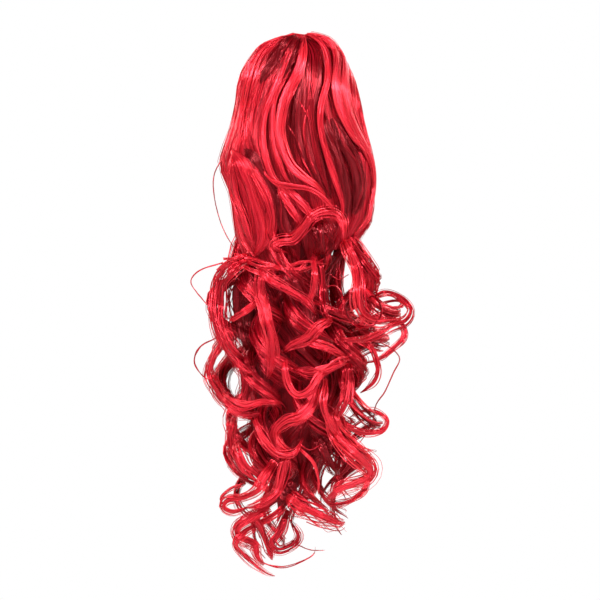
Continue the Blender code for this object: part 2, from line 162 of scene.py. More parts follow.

# Locks that lie on the crown, drawn from the front. Each point is (across, drop) from the top of the
# hair's middle line, in the photograph's pixels. Width is half the lock's width and lift its height
# over the crown's outline, in millimetres, and tone is painted light and shade on the lock's colour:
# it runs from below 0, painted deep shadow, as in the hollows, valleys and shadow locks, to 1, painted
# bright.
CROWN_LOCKS = (
    Lock("left_edge", 6, 0.6, -3.0, (
        (-2, 3), (-19, 3), (-40, 11), (-55, 31), (-62, 51), (-66, 73), (-70, 97), (-73, 115),
    )),
    Lock("left_sheet_outer", 6, 0.8, -1.5, (
        (-4, 3), (-27, 9), (-45, 29), (-54, 55), (-59, 82), (-62, 107), (-61, 121),
    )),
    Lock("left_sheet_middle", 6, 0.65, -0.5, (
        (-4, 4), (-22, 13), (-37, 37), (-45, 62), (-51, 87), (-53, 112), (-50, 128),
    )),
    Lock("left_sheet_inner", 6, 0.35, 0.0, (
        (-3, 5), (-15, 15), (-28, 42), (-36, 65), (-43, 92), (-44, 117), (-40, 135),
    )),
    Lock("upper_left_shadow", 8, -0.4, 2.0, ((-8, 6), (-20, 22), (-32, 40), (-41, 56))),
    Lock("upper_shadow", 7, -0.4, 2.0, ((-4, 7), (-12, 24), (-20, 42), (-27, 58))),
    Lock("left_wave", 3.6, 0.9, 3.5, (
        (-2, 7), (-12, 27), (-20, 47), (-28, 67), (-35, 85), (-37, 107), (-35, 125), (-29, 143),
        (-19, 157), (-8, 172),
    )),
    Lock("left_wave_inner", 2.4, 0.8, 2.5, (
        (-2, 7), (-10, 30), (-18, 52), (-26, 70), (-28, 92), (-27, 110), (-23, 128), (-15, 148),
        (-4, 160),
    )),
    Lock("centre_wave", 4.4, 1.0, 3.5, (
        (0, 7), (-2, 29), (-7, 47), (-15, 64), (-20, 82), (-22, 102), (-18, 122), (-11, 137), (1, 148),
        (14, 157), (26, 172),
    )),
    Lock("parting_strand", 2, 1.0, 2.5, ((1, 5), (2, 27), (-2, 47), (-9, 62), (-14, 80))),
    Lock("valley_left", 6, -0.35, -1.5, ((2, 5), (1, 37), (-3, 67), (-5, 97), (0, 122), (9, 147))),
    Lock("valley_middle", 6, -0.1, -2.0, (
        (3, 5), (6, 37), (4, 67), (3, 97), (7, 122), (16, 147), (26, 168),
    )),
    Lock("valley_right", 6, -0.15, -1.5, (
        (5, 5), (14, 25), (15, 52), (11, 80), (13, 110), (20, 140), (30, 168),
    )),
    Lock("valley_cross_high", 0.8, 0.9, 0.5, ((-6, 66), (4, 84), (13, 100), (17, 118))),
    Lock("valley_cross_low", 0.8, 0.9, 0.5, ((-14, 96), (-4, 112), (2, 132), (12, 150))),
    Lock("valley_cross_right", 0.8, 0.8, 0.5, ((16, 62), (6, 82), (2, 104), (8, 130), (18, 152))),
    Lock("centre_fall", 4, 0.8, 2.5, (
        (6, 3), (18, 15), (24, 32), (24, 52), (19, 72), (17, 92), (20, 112), (26, 132), (33, 152),
        (39, 172), (40, 192),
    )),
    Lock("hollow_left", 9, -0.4, -1.0, ((21, 80), (26, 105), (34, 132), (42, 162), (44, 190))),
    Lock("hollow_right", 9, -0.4, -1.0, ((32, 88), (42, 112), (52, 134), (57, 160), (52, 186))),
    Lock("right_sheet_inner", 6, 0.9, 1.5, (
        (8, 2), (25, 11), (33, 27), (32, 52), (35, 72), (42, 92), (50, 107), (60, 119), (68, 134),
    )),
    Lock("right_bow", 5.5, 1.0, 1.0, (
        (10, 3), (34, 16), (42, 32), (42, 55), (45, 77), (52, 97), (60, 112), (68, 127), (71, 145),
        (69, 167), (63, 189), (52, 205),
    )),
    Lock("right_sheet_outer", 6, 0.7, -1.0, (
        (12, 3), (39, 22), (49, 42), (52, 65), (55, 85), (60, 102), (67, 120),
    )),
    Lock("right_edge", 5, 0.6, -2.5, (
        (14, 4), (41, 24), (52, 47), (58, 69), (62, 92), (67, 115), (71, 137), (72, 162), (71, 182),
        (66, 198), (58, 212), (50, 224),
    )),
    Lock("swoop_outer", 6, 0.95, -0.5, (
        (-72, 117), (-71, 134), (-68, 157), (-63, 182), (-58, 207), (-50, 223),
    )),
    Lock("swoop_middle", 7, 0.85, 1.5, (
        (-72, 118), (-62, 129), (-53, 147), (-46, 167), (-40, 189), (-40, 209), (-48, 224),
    )),
    Lock("swoop_inner", 7, 0.7, 1.5, (
        (-68, 119), (-55, 130), (-42, 146), (-32, 167), (-28, 189), (-32, 209), (-44, 223),
    )),
    Lock("swoop_lower", 6, 0.7, 2.5, ((-70, 127), (-66, 152), (-59, 177), (-52, 199), (-46, 216))),
    Lock("swoop_shadow", 7, -0.45, 0.0, ((-60, 117), (-44, 130), (-32, 157), (-25, 182), (-20, 207))),
    Lock("crossing_strand", 2, 0.9, 4.5, (
        (-39, 138), (-27, 150), (-12, 154), (8, 158), (23, 169), (33, 182),
    )),
    Lock("lower_left_fall", 4.5, 0.6, 1.5, ((-24, 153), (-15, 169), (-5, 185), (1, 199))),
    Lock("lower_middle_fall", 4.5, 0.7, 2.0, ((-17, 155), (-2, 170), (10, 185), (18, 199))),
    Lock("lower_shadow", 7, -0.2, 0.0, ((-24, 158), (-19, 183), (-12, 206), (-6, 218))),
)

# Locks that stand free of the crown's outline, drawn from the front. Each point is (across, drop, out)
# in the same pixels, with out from 0 in the tail's middle to 1 at its front.
# Width is as on the crown, and tone too is painted light and shade: the shadow, dark and pocket locks are
# painted deep shade.
FREE_LOCKS = (
    FreeLock("hook", 5, 0.9, (
        (-14, 219, 0.9), (-24, 219, 0.95), (-28, 214, 1.0), (-20, 210, 1.02), (-8, 208, 1.02),
        (2, 197, 1.02), (10, 187, 1.02), (22, 182, 1.0), (34, 184, 0.95), (40, 196, 0.9), (40, 216, 0.8),
    )),
    FreeLock("pocket", 9, -0.3, ((14, 190, 0.95), (18, 205, 0.95), (20, 225, 0.9))),
    FreeLock("waist_crossing", 2.6, 0.7, (
        (-84, 238, 0.4), (-70, 229, 0.65), (-52, 227, 0.85), (-32, 233, 0.98), (-14, 238, 1.02),
        (6, 236, 1.0), (22, 226, 0.9),
    )),
    FreeLock("waist_low", 1.4, 0.8, (
        (-60, 232, 0.9), (-44, 240, 1.0), (-26, 245, 1.04), (-8, 240, 1.04), (6, 228, 1.0),
    )),
    FreeLock("waist_strands", 1.8, 0.9, (
        (-78, 226, 0.5), (-60, 227, 0.75), (-42, 234, 0.92), (-20, 236, 1.0), (2, 229, 1.04),
        (24, 232, 1.0),
    )),
    FreeLock("left_edge_outer", 6, 0.8, (
        (-54, 223, 0.9), (-70, 230, 0.65), (-82, 242, 0.45), (-86, 259, 0.35), (-87, 279, 0.35),
        (-83, 299, 0.4), (-73, 317, 0.6), (-59, 333, 0.85), (-46, 341, 1.0),
    )),
    FreeLock("left_edge_inner", 5, 0.6, (
        (-56, 228, 0.95), (-68, 238, 0.8), (-77, 254, 0.65), (-80, 274, 0.6), (-77, 294, 0.65),
        (-67, 313, 0.8), (-52, 330, 0.95),
    )),
    FreeLock("left_shadow", 8, -0.3, (
        (-58, 236, 0.6), (-64, 260, 0.55), (-62, 290, 0.6), (-54, 316, 0.7),
    )),
    FreeLock("left_second_loop", 5, 0.8, (
        (-78, 305, 0.3), (-88, 322, 0.2), (-93, 340, 0.2), (-85, 356, 0.35), (-74, 369, 0.6),
        (-58, 380, 0.85), (-42, 378, 1.0),
    )),
    FreeLock("left_third_loop", 5, 0.7, (
        (-68, 384, 0.5), (-71, 399, 0.4), (-70, 414, 0.45), (-63, 428, 0.6), (-54, 440, 0.8),
    )),
    FreeLock("centre_column", 4.5, 0.8, (
        (-40, 237, 1.08), (-42, 257, 1.12), (-36, 279, 1.16), (-30, 302, 1.16), (-29, 325, 1.12),
        (-33, 344, 1.0),
    )),
    FreeLock("centre_branch", 3, 0.9, (
        (-40, 265, 1.1), (-52, 275, 1.05), (-64, 284, 0.95), (-72, 287, 0.8),
    )),
    FreeLock("centre_drift", 3.5, 0.8, (
        (-44, 235, 1.08), (-30, 247, 1.15), (-14, 256, 1.18), (3, 267, 1.15), (14, 281, 1.08),
    )),
    FreeLock("centre_shadow", 9, -0.15, (
        (-20, 236, 0.95), (-8, 252, 0.95), (4, 275, 0.95), (6, 300, 0.95),
    )),
    FreeLock("hook_fall", 2.5, 0.9, ((10, 225, 1.1), (12, 242, 1.14), (10, 259, 1.14), (2, 274, 1.1))),
    FreeLock("right_core", 4, 0.25, ((17, 227, 0.85), (20, 247, 0.9), (21, 267, 0.95), (26, 288, 1.0))),
    FreeLock("knot_upper", 3.6, 0.9, (
        (29, 285, 1.08), (16, 293, 1.15), (4, 305, 1.18), (-10, 311, 1.15), (-20, 319, 1.08),
    )),
    FreeLock("knot_right", 3.6, 0.9, ((-2, 305, 1.1), (16, 311, 1.18), (32, 317, 1.14), (44, 325, 1.0))),
    FreeLock("knot_lower", 4.5, 0.7, ((44, 325, 1.0), (28, 333, 1.12), (10, 338, 1.16), (-7, 334, 1.1))),
    FreeLock("knot_loop", 3.5, 0.9, (
        (-18, 325, 1.08), (-14, 347, 1.16), (-5, 359, 1.2), (7, 355, 1.2), (16, 342, 1.18),
        (28, 330, 1.08),
    )),
    FreeLock("knot_tail", 5, 0.8, (
        (14, 353, 1.05), (9, 369, 1.12), (-2, 380, 1.15), (-16, 385, 1.12), (-26, 397, 1.08),
        (-18, 412, 1.1), (-6, 414, 1.02),
    )),
    FreeLock("left_inner_fill", 6, 0.3, (
        (-62, 322, 0.7), (-56, 340, 0.75), (-55, 358, 0.75), (-60, 378, 0.7),
    )),
    FreeLock("left_bridge", 4, 0.8, (
        (-78, 360, 0.7), (-57, 370, 0.95), (-40, 366, 1.08), (-20, 367, 1.08),
    )),
    FreeLock("right_shoulder", 6, 0.7, (
        (48, 206, 0.7), (58, 221, 0.6), (66, 236, 0.5), (69, 250, 0.45), (66, 268, 0.45), (62, 286, 0.5),
        (52, 298, 0.6),
    )),
    FreeLock("right_fall", 6, 0.9, (
        (43, 211, 0.9), (50, 229, 0.95), (54, 247, 0.98), (55, 265, 1.0), (60, 279, 1.0), (72, 287, 0.9),
        (86, 287, 0.7), (98, 285, 0.5),
    )),
    FreeLock("right_eye", 1.8, 0.2, (
        (47, 257, 0.7), (42, 272, 0.8), (48, 287, 0.9), (62, 294, 1.05), (75, 286, 1.05), (77, 272, 0.9),
        (69, 263, 0.75), (62, 271, 0.65),
    )),
    FreeLock("right_big_loop", 4, 0.7, (
        (70, 264, 0.6), (83, 259, 0.45), (98, 265, 0.35), (108, 276, 0.3), (103, 287, 0.35),
        (88, 293, 0.55), (70, 303, 0.8), (53, 307, 0.95), (36, 305, 1.05),
    )),
    FreeLock("right_small_loop", 3, 0.7, (
        (84, 284, 0.45), (98, 290, 0.35), (102, 302, 0.3), (92, 314, 0.35), (78, 325, 0.45),
        (64, 329, 0.55),
    )),
    FreeLock("right_hanging_loop", 3.5, 0.7, (
        (64, 306, 0.7), (72, 320, 0.6), (75, 335, 0.5), (71, 348, 0.5), (58, 359, 0.6),
    )),
    FreeLock("right_flank", 5, 0.6, ((44, 330, 0.95), (46, 350, 0.9), (42, 369, 0.9), (32, 387, 0.95))),
    FreeLock("right_inner_strand", 3, 0.8, (
        (23, 345, 1.05), (21, 365, 1.1), (26, 385, 1.1), (36, 405, 1.0),
    )),
    FreeLock("middle_shadow", 8, -0.3, (
        (14, 358, 0.85), (12, 382, 0.85), (18, 405, 0.85), (20, 425, 0.85),
    )),
    FreeLock("right_ring", 3, 0.8, (
        (34, 387, 0.8), (47, 393, 0.7), (62, 399, 0.6), (79, 397, 0.45), (85, 387, 0.35), (76, 378, 0.3),
        (60, 377, 0.3), (47, 384, 0.4),
    )),
    FreeLock("right_dark", 6, -0.3, ((14, 396, 0.8), (22, 414, 0.8), (30, 430, 0.75), (36, 440, 0.7))),
    FreeLock("right_ribbon", 8, 1.1, (
        (28, 378, 1.0), (34, 397, 1.0), (46, 411, 0.95), (57, 422, 0.85), (67, 434, 0.7),
        (63, 443, 0.65), (53, 447, 0.7), (36, 453, 0.8), (23, 465, 0.9),
    )),
    FreeLock("right_lower_loop", 3, 0.6, (
        (65, 440, 0.5), (63, 452, 0.4), (54, 461, 0.4), (42, 467, 0.5), (28, 468, 0.6), (20, 460, 0.7),
    )),
    FreeLock("lower_swirl", 4, 0.8, (
        (-46, 384, 1.0), (-36, 402, 1.08), (-24, 415, 1.1), (-8, 416, 1.1), (1, 402, 1.05),
    )),
    FreeLock("lower_arc", 2.5, 0.9, ((-2, 412, 1.02), (11, 424, 1.05), (16, 440, 1.05), (16, 457, 1.0))),
    FreeLock("lower_left_fan", 5, 0.8, (
        (-14, 416, 1.0), (-18, 437, 1.05), (-24, 455, 1.05), (-38, 466, 1.0), (-56, 471, 0.9),
    )),
    FreeLock("left_fold", 5, 0.7, ((-64, 407, 0.85), (-55, 427, 0.95), (-42, 440, 1.0), (-30, 457, 1.0))),
    FreeLock("left_hook", 4.5, 0.9, (
        (-27, 425, 0.98), (-36, 440, 1.0), (-44, 453, 1.0), (-59, 461, 0.85), (-73, 464, 0.7),
        (-77, 471, 0.6), (-68, 475, 0.65), (-54, 471, 0.85),
    )),
    FreeLock("left_hook_strand", 2, 0.8, (
        (-56, 447, 0.8), (-70, 453, 0.65), (-80, 463, 0.6), (-76, 471, 0.6),
    )),
    FreeLock("right_point", 7, 0.7, (
        (-12, 458, 1.0), (3, 470, 1.0), (20, 478, 0.95), (34, 485, 0.85), (42, 487, 0.8),
    )),
    FreeLock("point_shadow", 8, -0.3, ((-20, 450, 0.8), (-8, 465, 0.8), (6, 476, 0.75))),
    FreeLock("tip_sweep", 3.5, 0.8, (
        (-17, 470, 0.9), (-32, 481, 0.85), (-47, 489, 0.8), (-58, 496, 0.75), (-65, 506, 0.7),
        (-59, 516, 0.65), (-48, 527, 0.6), (-34, 537, 0.6), (-27, 540, 0.6),
    )),
    FreeLock("tip_curl", 5, 0.8, (
        (-32, 471, 0.9), (-47, 479, 0.85), (-62, 489, 0.8), (-62, 500, 0.75), (-47, 508, 0.7),
        (-44, 519, 0.65), (-38, 529, 0.6),
    )),
    FreeLock("tip_fill", 5, 0.5, ((-50, 478, 0.75), (-40, 495, 0.7), (-33, 512, 0.65), (-30, 524, 0.6))),
    FreeLock("tip_fold", 3.5, 0.6, ((-14, 476, 0.7), (-18, 492, 0.7), (-28, 506, 0.65), (-34, 520, 0.6))),
    FreeLock("tip_ring", 4, 0.6, (
        (-14, 474, 0.8), (-24, 495, 0.75), (-30, 503, 0.7), (-24, 512, 0.65), (-13, 510, 0.6),
        (-5, 504, 0.6), (-4, 497, 0.6), (-12, 484, 0.65),
    )),
)

# A free lock at out 1 is this far in front of the tail's middle. It weaves in and out by WEAVE_DEPTH
# along each WEAVE_LENGTH, and dives DIVE_DEPTH into the mass over DIVE_SHARE of its length at each end.
# Its flat side faces away from a place FREE_FACING behind its own middle.
TAIL_FRONT = 0.062
WEAVE_DEPTH = 0.005
WEAVE_LENGTH = 0.085
DIVE_DEPTH = 0.014
DIVE_SHARE = 0.14
FREE_FACING = 0.04
# The sides of the crown's form are as far round as a drawn lock goes
WIDEST_SINE = 0.995
# A lock on the crown sinks ROOT_DEPTH over ROOT_SHARE of its length at each end. Its root is narrow where
# it starts more than ROOT_REACH pixels down.
ROOT_DEPTH = 0.003
ROOT_SHARE = 0.12
ROOT_REACH = 50
NARROW_ROOT = 0.15
# A lock is full between these shares of its length, and at its ends it has these shares of its size
FULL_FROM = 0.25
FULL_TO_END = 0.22
LOCK_ROOT = 0.55
LOCK_TIP = 0.18
FREE_LOCK_ROOT = 0.75
FREE_LOCK_TIP = 0.32
# Places on a drawn lock's line for each of its points
DRAPED_STEPS = 4
FREE_STEPS = 5
FEWEST_STRANDS = 3

# Single strands that stray from the rest, drawn in the same way.
FLYAWAYS = (
    FreeLock("left_long", 0.8, 0.3, (
        (-74, 120, 0.2), (-86, 140, 0.2), (-87, 162, 0.25), (-80, 190, 0.3), (-66, 216, 0.6),
        (-52, 230, 0.9),
    )),
    FreeLock("left_upper_loop", 1.2, 0.3, (
        (-78, 230, 0.4), (-100, 237, 0.3), (-110, 248, 0.2), (-104, 260, 0.2), (-92, 274, 0.3),
    )),
    FreeLock("left_lower_loop", 1.2, 0.4, (
        (-86, 306, 0.3), (-101, 315, 0.2), (-106, 328, 0.2), (-99, 341, 0.2), (-90, 347, 0.3),
    )),
    FreeLock("right_long", 1.0, 0.3, (
        (58, 304, 0.8), (82, 311, 0.6), (97, 324, 0.4), (91, 341, 0.3), (83, 358, 0.3), (74, 371, 0.3),
        (69, 391, 0.4), (52, 414, 0.6),
    )),
    FreeLock("gap_arc", 0.8, 0.2, ((28, 242, 0.7), (36, 247, 0.7), (46, 242, 0.7))),
    FreeLock("gap_curl", 1.2, 0.2, ((25, 255, 0.7), (33, 254, 0.7), (39, 265, 0.7), (39, 285, 0.8))),
    FreeLock("bottom_long", 1.4, 0.7, (
        (-44, 519, 0.6), (-36, 526, 0.6), (-20, 530, 0.55), (-2, 525, 0.5), (11, 518, 0.5),
        (13, 509, 0.5),
    )),
    FreeLock("bottom_short", 0.6, 0.4, ((-4, 508, 0.6), (8, 513, 0.55), (24, 514, 0.5))),
    FreeLock("point_strand", 0.8, 0.4, ((4, 486, 0.7), (22, 493, 0.6), (38, 495, 0.6), (44, 489, 0.6))),
    FreeLock("middle_cross", 1.0, 0.6, ((-2, 408, 1.0), (8, 413, 1.0), (20, 407, 1.0))),
)

Curl = namedtuple(
    "Curl", "name root_turn across_top across_end depth_top depth_end end radius turns phase loop width"
)

# The ringlets of the tail, as in the part's source but for five rows, which follow the photo closer:
# left_edge, right_inner, right_loop, lower_right and back_right.
CURLS = (
    Curl("left_edge", -86, -0.66, -0.51, -0.10, 0.00, 0.80, 1.15, 3.4, -95, 0.35, 1.05),
    Curl("left_inner", -58, -0.40, -0.36, -0.60, -0.50, 0.76, 0.75, 2.9, 40, 0.20, 1.00),
    Curl("front_left", -30, -0.22, -0.26, -0.70, -0.45, 0.95, 0.85, 3.5, 190, 0.30, 1.10),
    Curl("front_right", 12, 0.06, 0.16, -0.72, -0.50, 0.86, 0.85, 3.2, 300, 0.30, 1.05),
    Curl("right_inner", 74, 0.55, 0.34, -0.40, -0.30, 0.78, 0.72, 2.8, -130, 0.25, 1.00),
    Curl("right_loop", 78, 0.80, 0.44, -0.15, -0.12, 0.78, 1.05, 2.3, 139, 0.80, 0.45),
    Curl("right_edge", 104, 0.62, 0.42, 0.28, 0.25, 0.88, 1.15, 2.4, 75, 0.80, 0.95),
    Curl("lower_left", -110, -0.50, -0.53, 0.25, 0.10, 0.88, 1.00, 3.6, 110, 0.40, 1.05),
    Curl("lower_tip", -8, -0.12, -0.38, -0.20, -0.10, 0.96, 1.05, 3.1, 212, 0.50, 1.15),
    Curl("lower_right", 20, 0.16, 0.34, -0.30, -0.15, 0.85, 1.10, 2.6, 100, 0.45, 1.05),
    Curl("back_right", 132, 0.58, 0.26, 0.66, 0.50, 0.82, 0.72, 2.9, 200, 0.25, 0.90),
    Curl("back_centre", 172, 0.00, 0.00, 0.72, 0.56, 0.90, 0.90, 3.1, 150, 0.25, 1.10),
    Curl("back_left", -138, -0.40, -0.30, 0.62, 0.46, 0.80, 0.85, 2.8, 330, 0.25, 1.00),
)

Share = namedtuple("Share", "phase radius drop width end tone")

# Each ringlet is combed into these thinner locks, which leave its middle line a little. Their tones are
# painted light and shade: the shares that curl closer in are painted darker, the outer and thin ones
# lighter.
RINGLET_SHARES = (
    Share(phase=0, radius=0.99, drop=0.000, width=0.50, end=0.97, tone=0.38),
    Share(phase=14, radius=1.09, drop=0.008, width=0.40, end=0.92, tone=0.62),
    Share(phase=-15, radius=0.93, drop=-0.007, width=0.40, end=0.95, tone=0.05),
    Share(phase=26, radius=0.83, drop=0.014, width=0.32, end=0.90, tone=0.12),
    Share(phase=55, radius=1.02, drop=0.024, width=0.09, end=0.93, tone=0.80),
    Share(phase=-45, radius=0.97, drop=-0.018, width=0.08, end=0.96, tone=0.70),
)
CURL_RINGS_A_TURN = 16
CURL_ROOT_RINGS = 8
# A ringlet starts at this share of the waist's outline, leaves it over LEAVE of its length, narrows by
# NARROWING on the way, and turns its tip in by TIP_TURN radians over TIP of its length. Its shares part
# from its middle line over SHARE_LEAVE, and each strays by PHASE_SPREAD degrees at most.
CURL_ROOT_SHARE = 0.80
CURL_LEAVE = 0.10
CURL_SHARE_LEAVE = 0.20
CURL_NARROWING = 0.35
CURL_TIP = 0.20
CURL_TIP_TURN = 1.1
CURL_TIP_NARROWING = 0.4
CURL_WOBBLE = 0.10
CURL_WOBBLE_PACE = 11
CURL_PHASE_SPREAD = 5
CURL_TAPER = 0.16
CURL_TIP_SIZE = 0.15
# It swells from the first share of its size by the second, on a sine that starts a little on its way
CURL_SWELL = (0.62, 0.38)
CURL_SWELL_START = 0.12
CURL_SWELL_POWER = 0.8
CURL_FLATNESS = 0.60

# The ringlets that make one piece of hair each
RINGLET_GROUPS = (
    ("tail_left_ringlets", ("left_edge", "left_inner", "lower_left")),
    ("tail_front_ringlets", ("front_left", "front_right", "lower_right")),
    ("tail_right_ringlets", ("right_inner", "right_loop", "right_edge", "lower_tip")),
    ("tail_back_ringlets", ("back_right", "back_centre", "back_left")),
)

# The tail's bulk inside the ringlets, as in the part's source, and the waves combed over it. The bulk's
# tone is painted deep shade, and the waves' tones, drawn at random, painted shade a little lighter, inside
# the tail.
TAIL_SECTIONS = (
    Section(drop=0.00, width=0.48, depth=0.58, shift=-0.06),
    Section(drop=0.10, width=0.40, depth=0.54, shift=-0.15),
    Section(drop=0.22, width=0.40, depth=0.54, shift=-0.14),
    Section(drop=0.40, width=0.42, depth=0.54, shift=-0.10),
    Section(drop=0.60, width=0.34, depth=0.44, shift=-0.10),
    Section(drop=0.74, width=0.20, depth=0.28, shift=-0.16),
    Section(drop=0.84, width=0.07, depth=0.12, shift=-0.24),
)
CORE_RINGS = 25
CORE_TAPER_RINGS = 7
CORE_PAINTED_SHADE = -0.3
CORE_WAVE_COUNT = 18
CORE_WAVE_WIDTH = 0.008
CORE_WAVE_THICKNESS = 0.005
CORE_WAVE_RINGS = 32
CORE_WAVE_BENDS = (16, 30)
CORE_WAVE_TURNS = (1.6, 2.6)
CORE_WAVE_ENDS = (0.72, 0.84)
CORE_WAVE_RIPPLE = 0.08
CORE_WAVE_PAINTED_SHADE = (-0.15, 0.35)

# How the tail's locks are filled, and how far round each lock its strands lie, in radians
CORE_BODY = {"sides": 64, "fullness": 0.94, "ridges": 0.12}
TAIL_BODY = {"sides": 12, "fullness": 0.5, "ridges": 0.6}
TAIL_SPLAY = 0.28
WAVE_ARC = 3.7
CURL_ARC = 5.6
FREE_ARC = 5.0
WAVE_DENSITY_SHARE = 0.7
FREE_DENSITY_SHARE = 1.5
SEED_STEP = 20

# The crown's bulk under its locks
UNDER_VOXEL = 0.0035
UNDER_SINK = 0.0055
UNDER_SOFTENING = 0.6
UNDER_PASSES = 6
UNDER_STREAK_SCALE = (900.0, 900.0, 26.0)
SAME_PLACE = 1e-6

# A fibre's place on the colour ramp: from its own streak or tint, which differ at random, and from its
# lock's tone, which is painted light and shade. The fill is painted darker still, as painted shade under
# its strands.
STREAK_SHARE = 0.70
STREAK_START = -0.12
PAINTED_LIGHT_SHARE = 0.56
FILL_PAINTED_SHADE = 0.16

# The stage. The sky is white up to the first height over or under the horizon, and dim from the second.
WHITE_UP_TO = 0.16
DIM_FROM = 0.42
SENSOR_WIDTH = 36.0
FLOOR_SIDES = 96
PAPER_COLOUR = (0.95, 0.95, 0.95, 1.0)
LIGHT_AIM = (0.0, -0.02, -0.16)
STUDIO_LIGHTS = (
    ("left_key", (-1.10, -1.20, 0.80), (1.0, 0.25), "key_power"),
    ("right_key", (1.15, -1.15, 0.80), (1.0, 0.25), "fill_power"),
    ("back_light", (0.75, 1.35, 0.55), (1.0, 0.4), "back_power"),
    ("back_left_light", (-1.0, 1.2, 0.45), (1.0, 0.4), "back_power"),
)

Guide = namedtuple("Guide", "path sides lifts half_widths half_thicknesses strands tone")


def read_section(sections, drop):
    """Reads a section between the rows, on a smooth curve through them."""
    last = len(sections) - 2
    row = max(i for i in range(last + 1) if i == 0 or sections[i].drop <= drop)
    before = sections[max(row - 1, 0)]
    start = sections[row]
    end = sections[row + 1]
    after = sections[min(row + 2, last + 1)]
    span = end.drop - start.drop
    along = min(max((drop - start.drop) / span, 0.0), 1.0)

    def smooth(column):
        rise_in = (getattr(end, column) - getattr(before, column)) / (end.drop - before.drop)
        rise_out = (getattr(after, column) - getattr(start, column)) / (after.drop - start.drop)
        square = along * along
        cube = square * along
        return (
            getattr(start, column) * (2 * cube - 3 * square + 1)
            + getattr(end, column) * (3 * square - 2 * cube)
            + rise_in * span * (cube - 2 * square + along)
            + rise_out * span * (cube - square)
        )

    return Section(drop, smooth("width"), smooth("depth"), smooth("shift"))


def crown_point(drop, turn):
    """A point of the crown's outer form, at a drop share and a turn in degrees from the front."""
    section = read_section(CROWN_SECTIONS, drop)
    half_width = CROWN_WIDTH / 2
    return Vector((
        half_width * (section.shift + section.width * math.sin(math.radians(turn))),
        -CROWN_FORWARD - CROWN_DEPTH / 2 * section.depth * math.cos(math.radians(turn)),
        TOP_Z - drop * CROWN_HEIGHT,
    ))


def crown_normal(drop, turn):
    step = 0.01
    down = crown_point(min(drop + step, 1.0), turn) - crown_point(max(drop - step, 0.0), turn)
    round_it = crown_point(drop, turn + 1) - crown_point(drop, turn - 1)
    return down.cross(round_it).normalized()


def spread_path(points, count):
    """Evenly spaced places on a smooth curve through the points."""
    fine = []
    last = len(points) - 1
    for i in range(last):
        p0 = points[max(i - 1, 0)]
        p1 = points[i]
        p2 = points[i + 1]
        p3 = points[min(i + 2, last)]
        for k in range(12):
            t = k / 12
            fine.append(0.5 * (
                2 * p1 + (p2 - p0) * t + (2 * p0 - 5 * p1 + 4 * p2 - p3) * t ** 2
                + (3 * p1 - p0 - 3 * p2 + p3) * t ** 3
            ))
    fine.append(points[-1])
    reach = [0.0]
    for a, b in zip(fine, fine[1:]):
        reach.append(reach[-1] + (b - a).length)
    path = []
    at = 0
    for i in range(count):
        wanted = reach[-1] * i / (count - 1)
        while at < len(fine) - 2 and reach[at + 1] < wanted:
            at += 1
        part = (wanted - reach[at]) / max(reach[at + 1] - reach[at], 1e-9)
        path.append(fine[at].lerp(fine[at + 1], min(part, 1.0)))
    return path


class LockLine:
    """A lock's middle line while it is drawn, with the normal of its flat side and its half sizes."""

    def __init__(self):
        self.path = []
        self.normals = []
        self.half_widths = []
        self.half_thicknesses = []

    def add(self, point, normal, half_width, half_thickness):
        self.path.append(point)
        self.normals.append(normal)
        self.half_widths.append(half_width)
        self.half_thicknesses.append(half_thickness)

    def guide(self, strands, tone):
        """The finished guide, with its flat side and its lift square to the line."""
        sides = []
        lifts = []
        last = len(self.path) - 1
        for i, normal in enumerate(self.normals):
            tangent = (self.path[min(i + 1, last)] - self.path[max(i - 1, 0)]).normalized()
            side = tangent.cross(normal).normalized()
            sides.append(side)
            lifts.append(side.cross(tangent))
        return Guide(self.path, sides, lifts, self.half_widths, self.half_thicknesses, strands, tone)


def lock_size(along, tip=LOCK_TIP, root=LOCK_ROOT):
    """How full a lock is along its length: gathered at the root, full in the middle, tapered at the tip."""
    near_root = root + (1.0 - root) * min(along / FULL_FROM, 1.0)
    near_tip = tip + (1.0 - tip) * min((1.0 - along) / FULL_TO_END, 1.0)
    return near_root * near_tip


def near_ends(along, share, power=1):
    """How close a place is to either end of a lock: 1 at the end, 0 from a share of the length on."""
    return max(1.0 - along / share, 0.0) ** power + max(1.0 - (1.0 - along) / share, 0.0) ** power


def read_combing(turn):
    """The combing row for a root turn, read between the rows."""
    row = max(i for i in range(len(CROWN_COMBING) - 1) if CROWN_COMBING[i].root_turn <= turn)
    start = CROWN_COMBING[row]
    end = CROWN_COMBING[row + 1]
    along = (turn - start.root_turn) / (end.root_turn - start.root_turn)
    return Sweep(*(a + (b - a) * along for a, b in zip(start, end)))


def below_waist(drop, turn, lift):
    """A point of the combed layer where it gathers under the crown, from the waist down."""
    past = drop - 1.0
    point = crown_point(1.0, turn) + crown_normal(1.0, turn) * lift
    middle = crown_point(1.0, 0.0).lerp(crown_point(1.0, 180.0), 0.5)
    gathered = middle.lerp(point, 1.0 - WAIST_GATHER * past)
    gathered.z = point.z - past * CROWN_HEIGHT
    return gathered


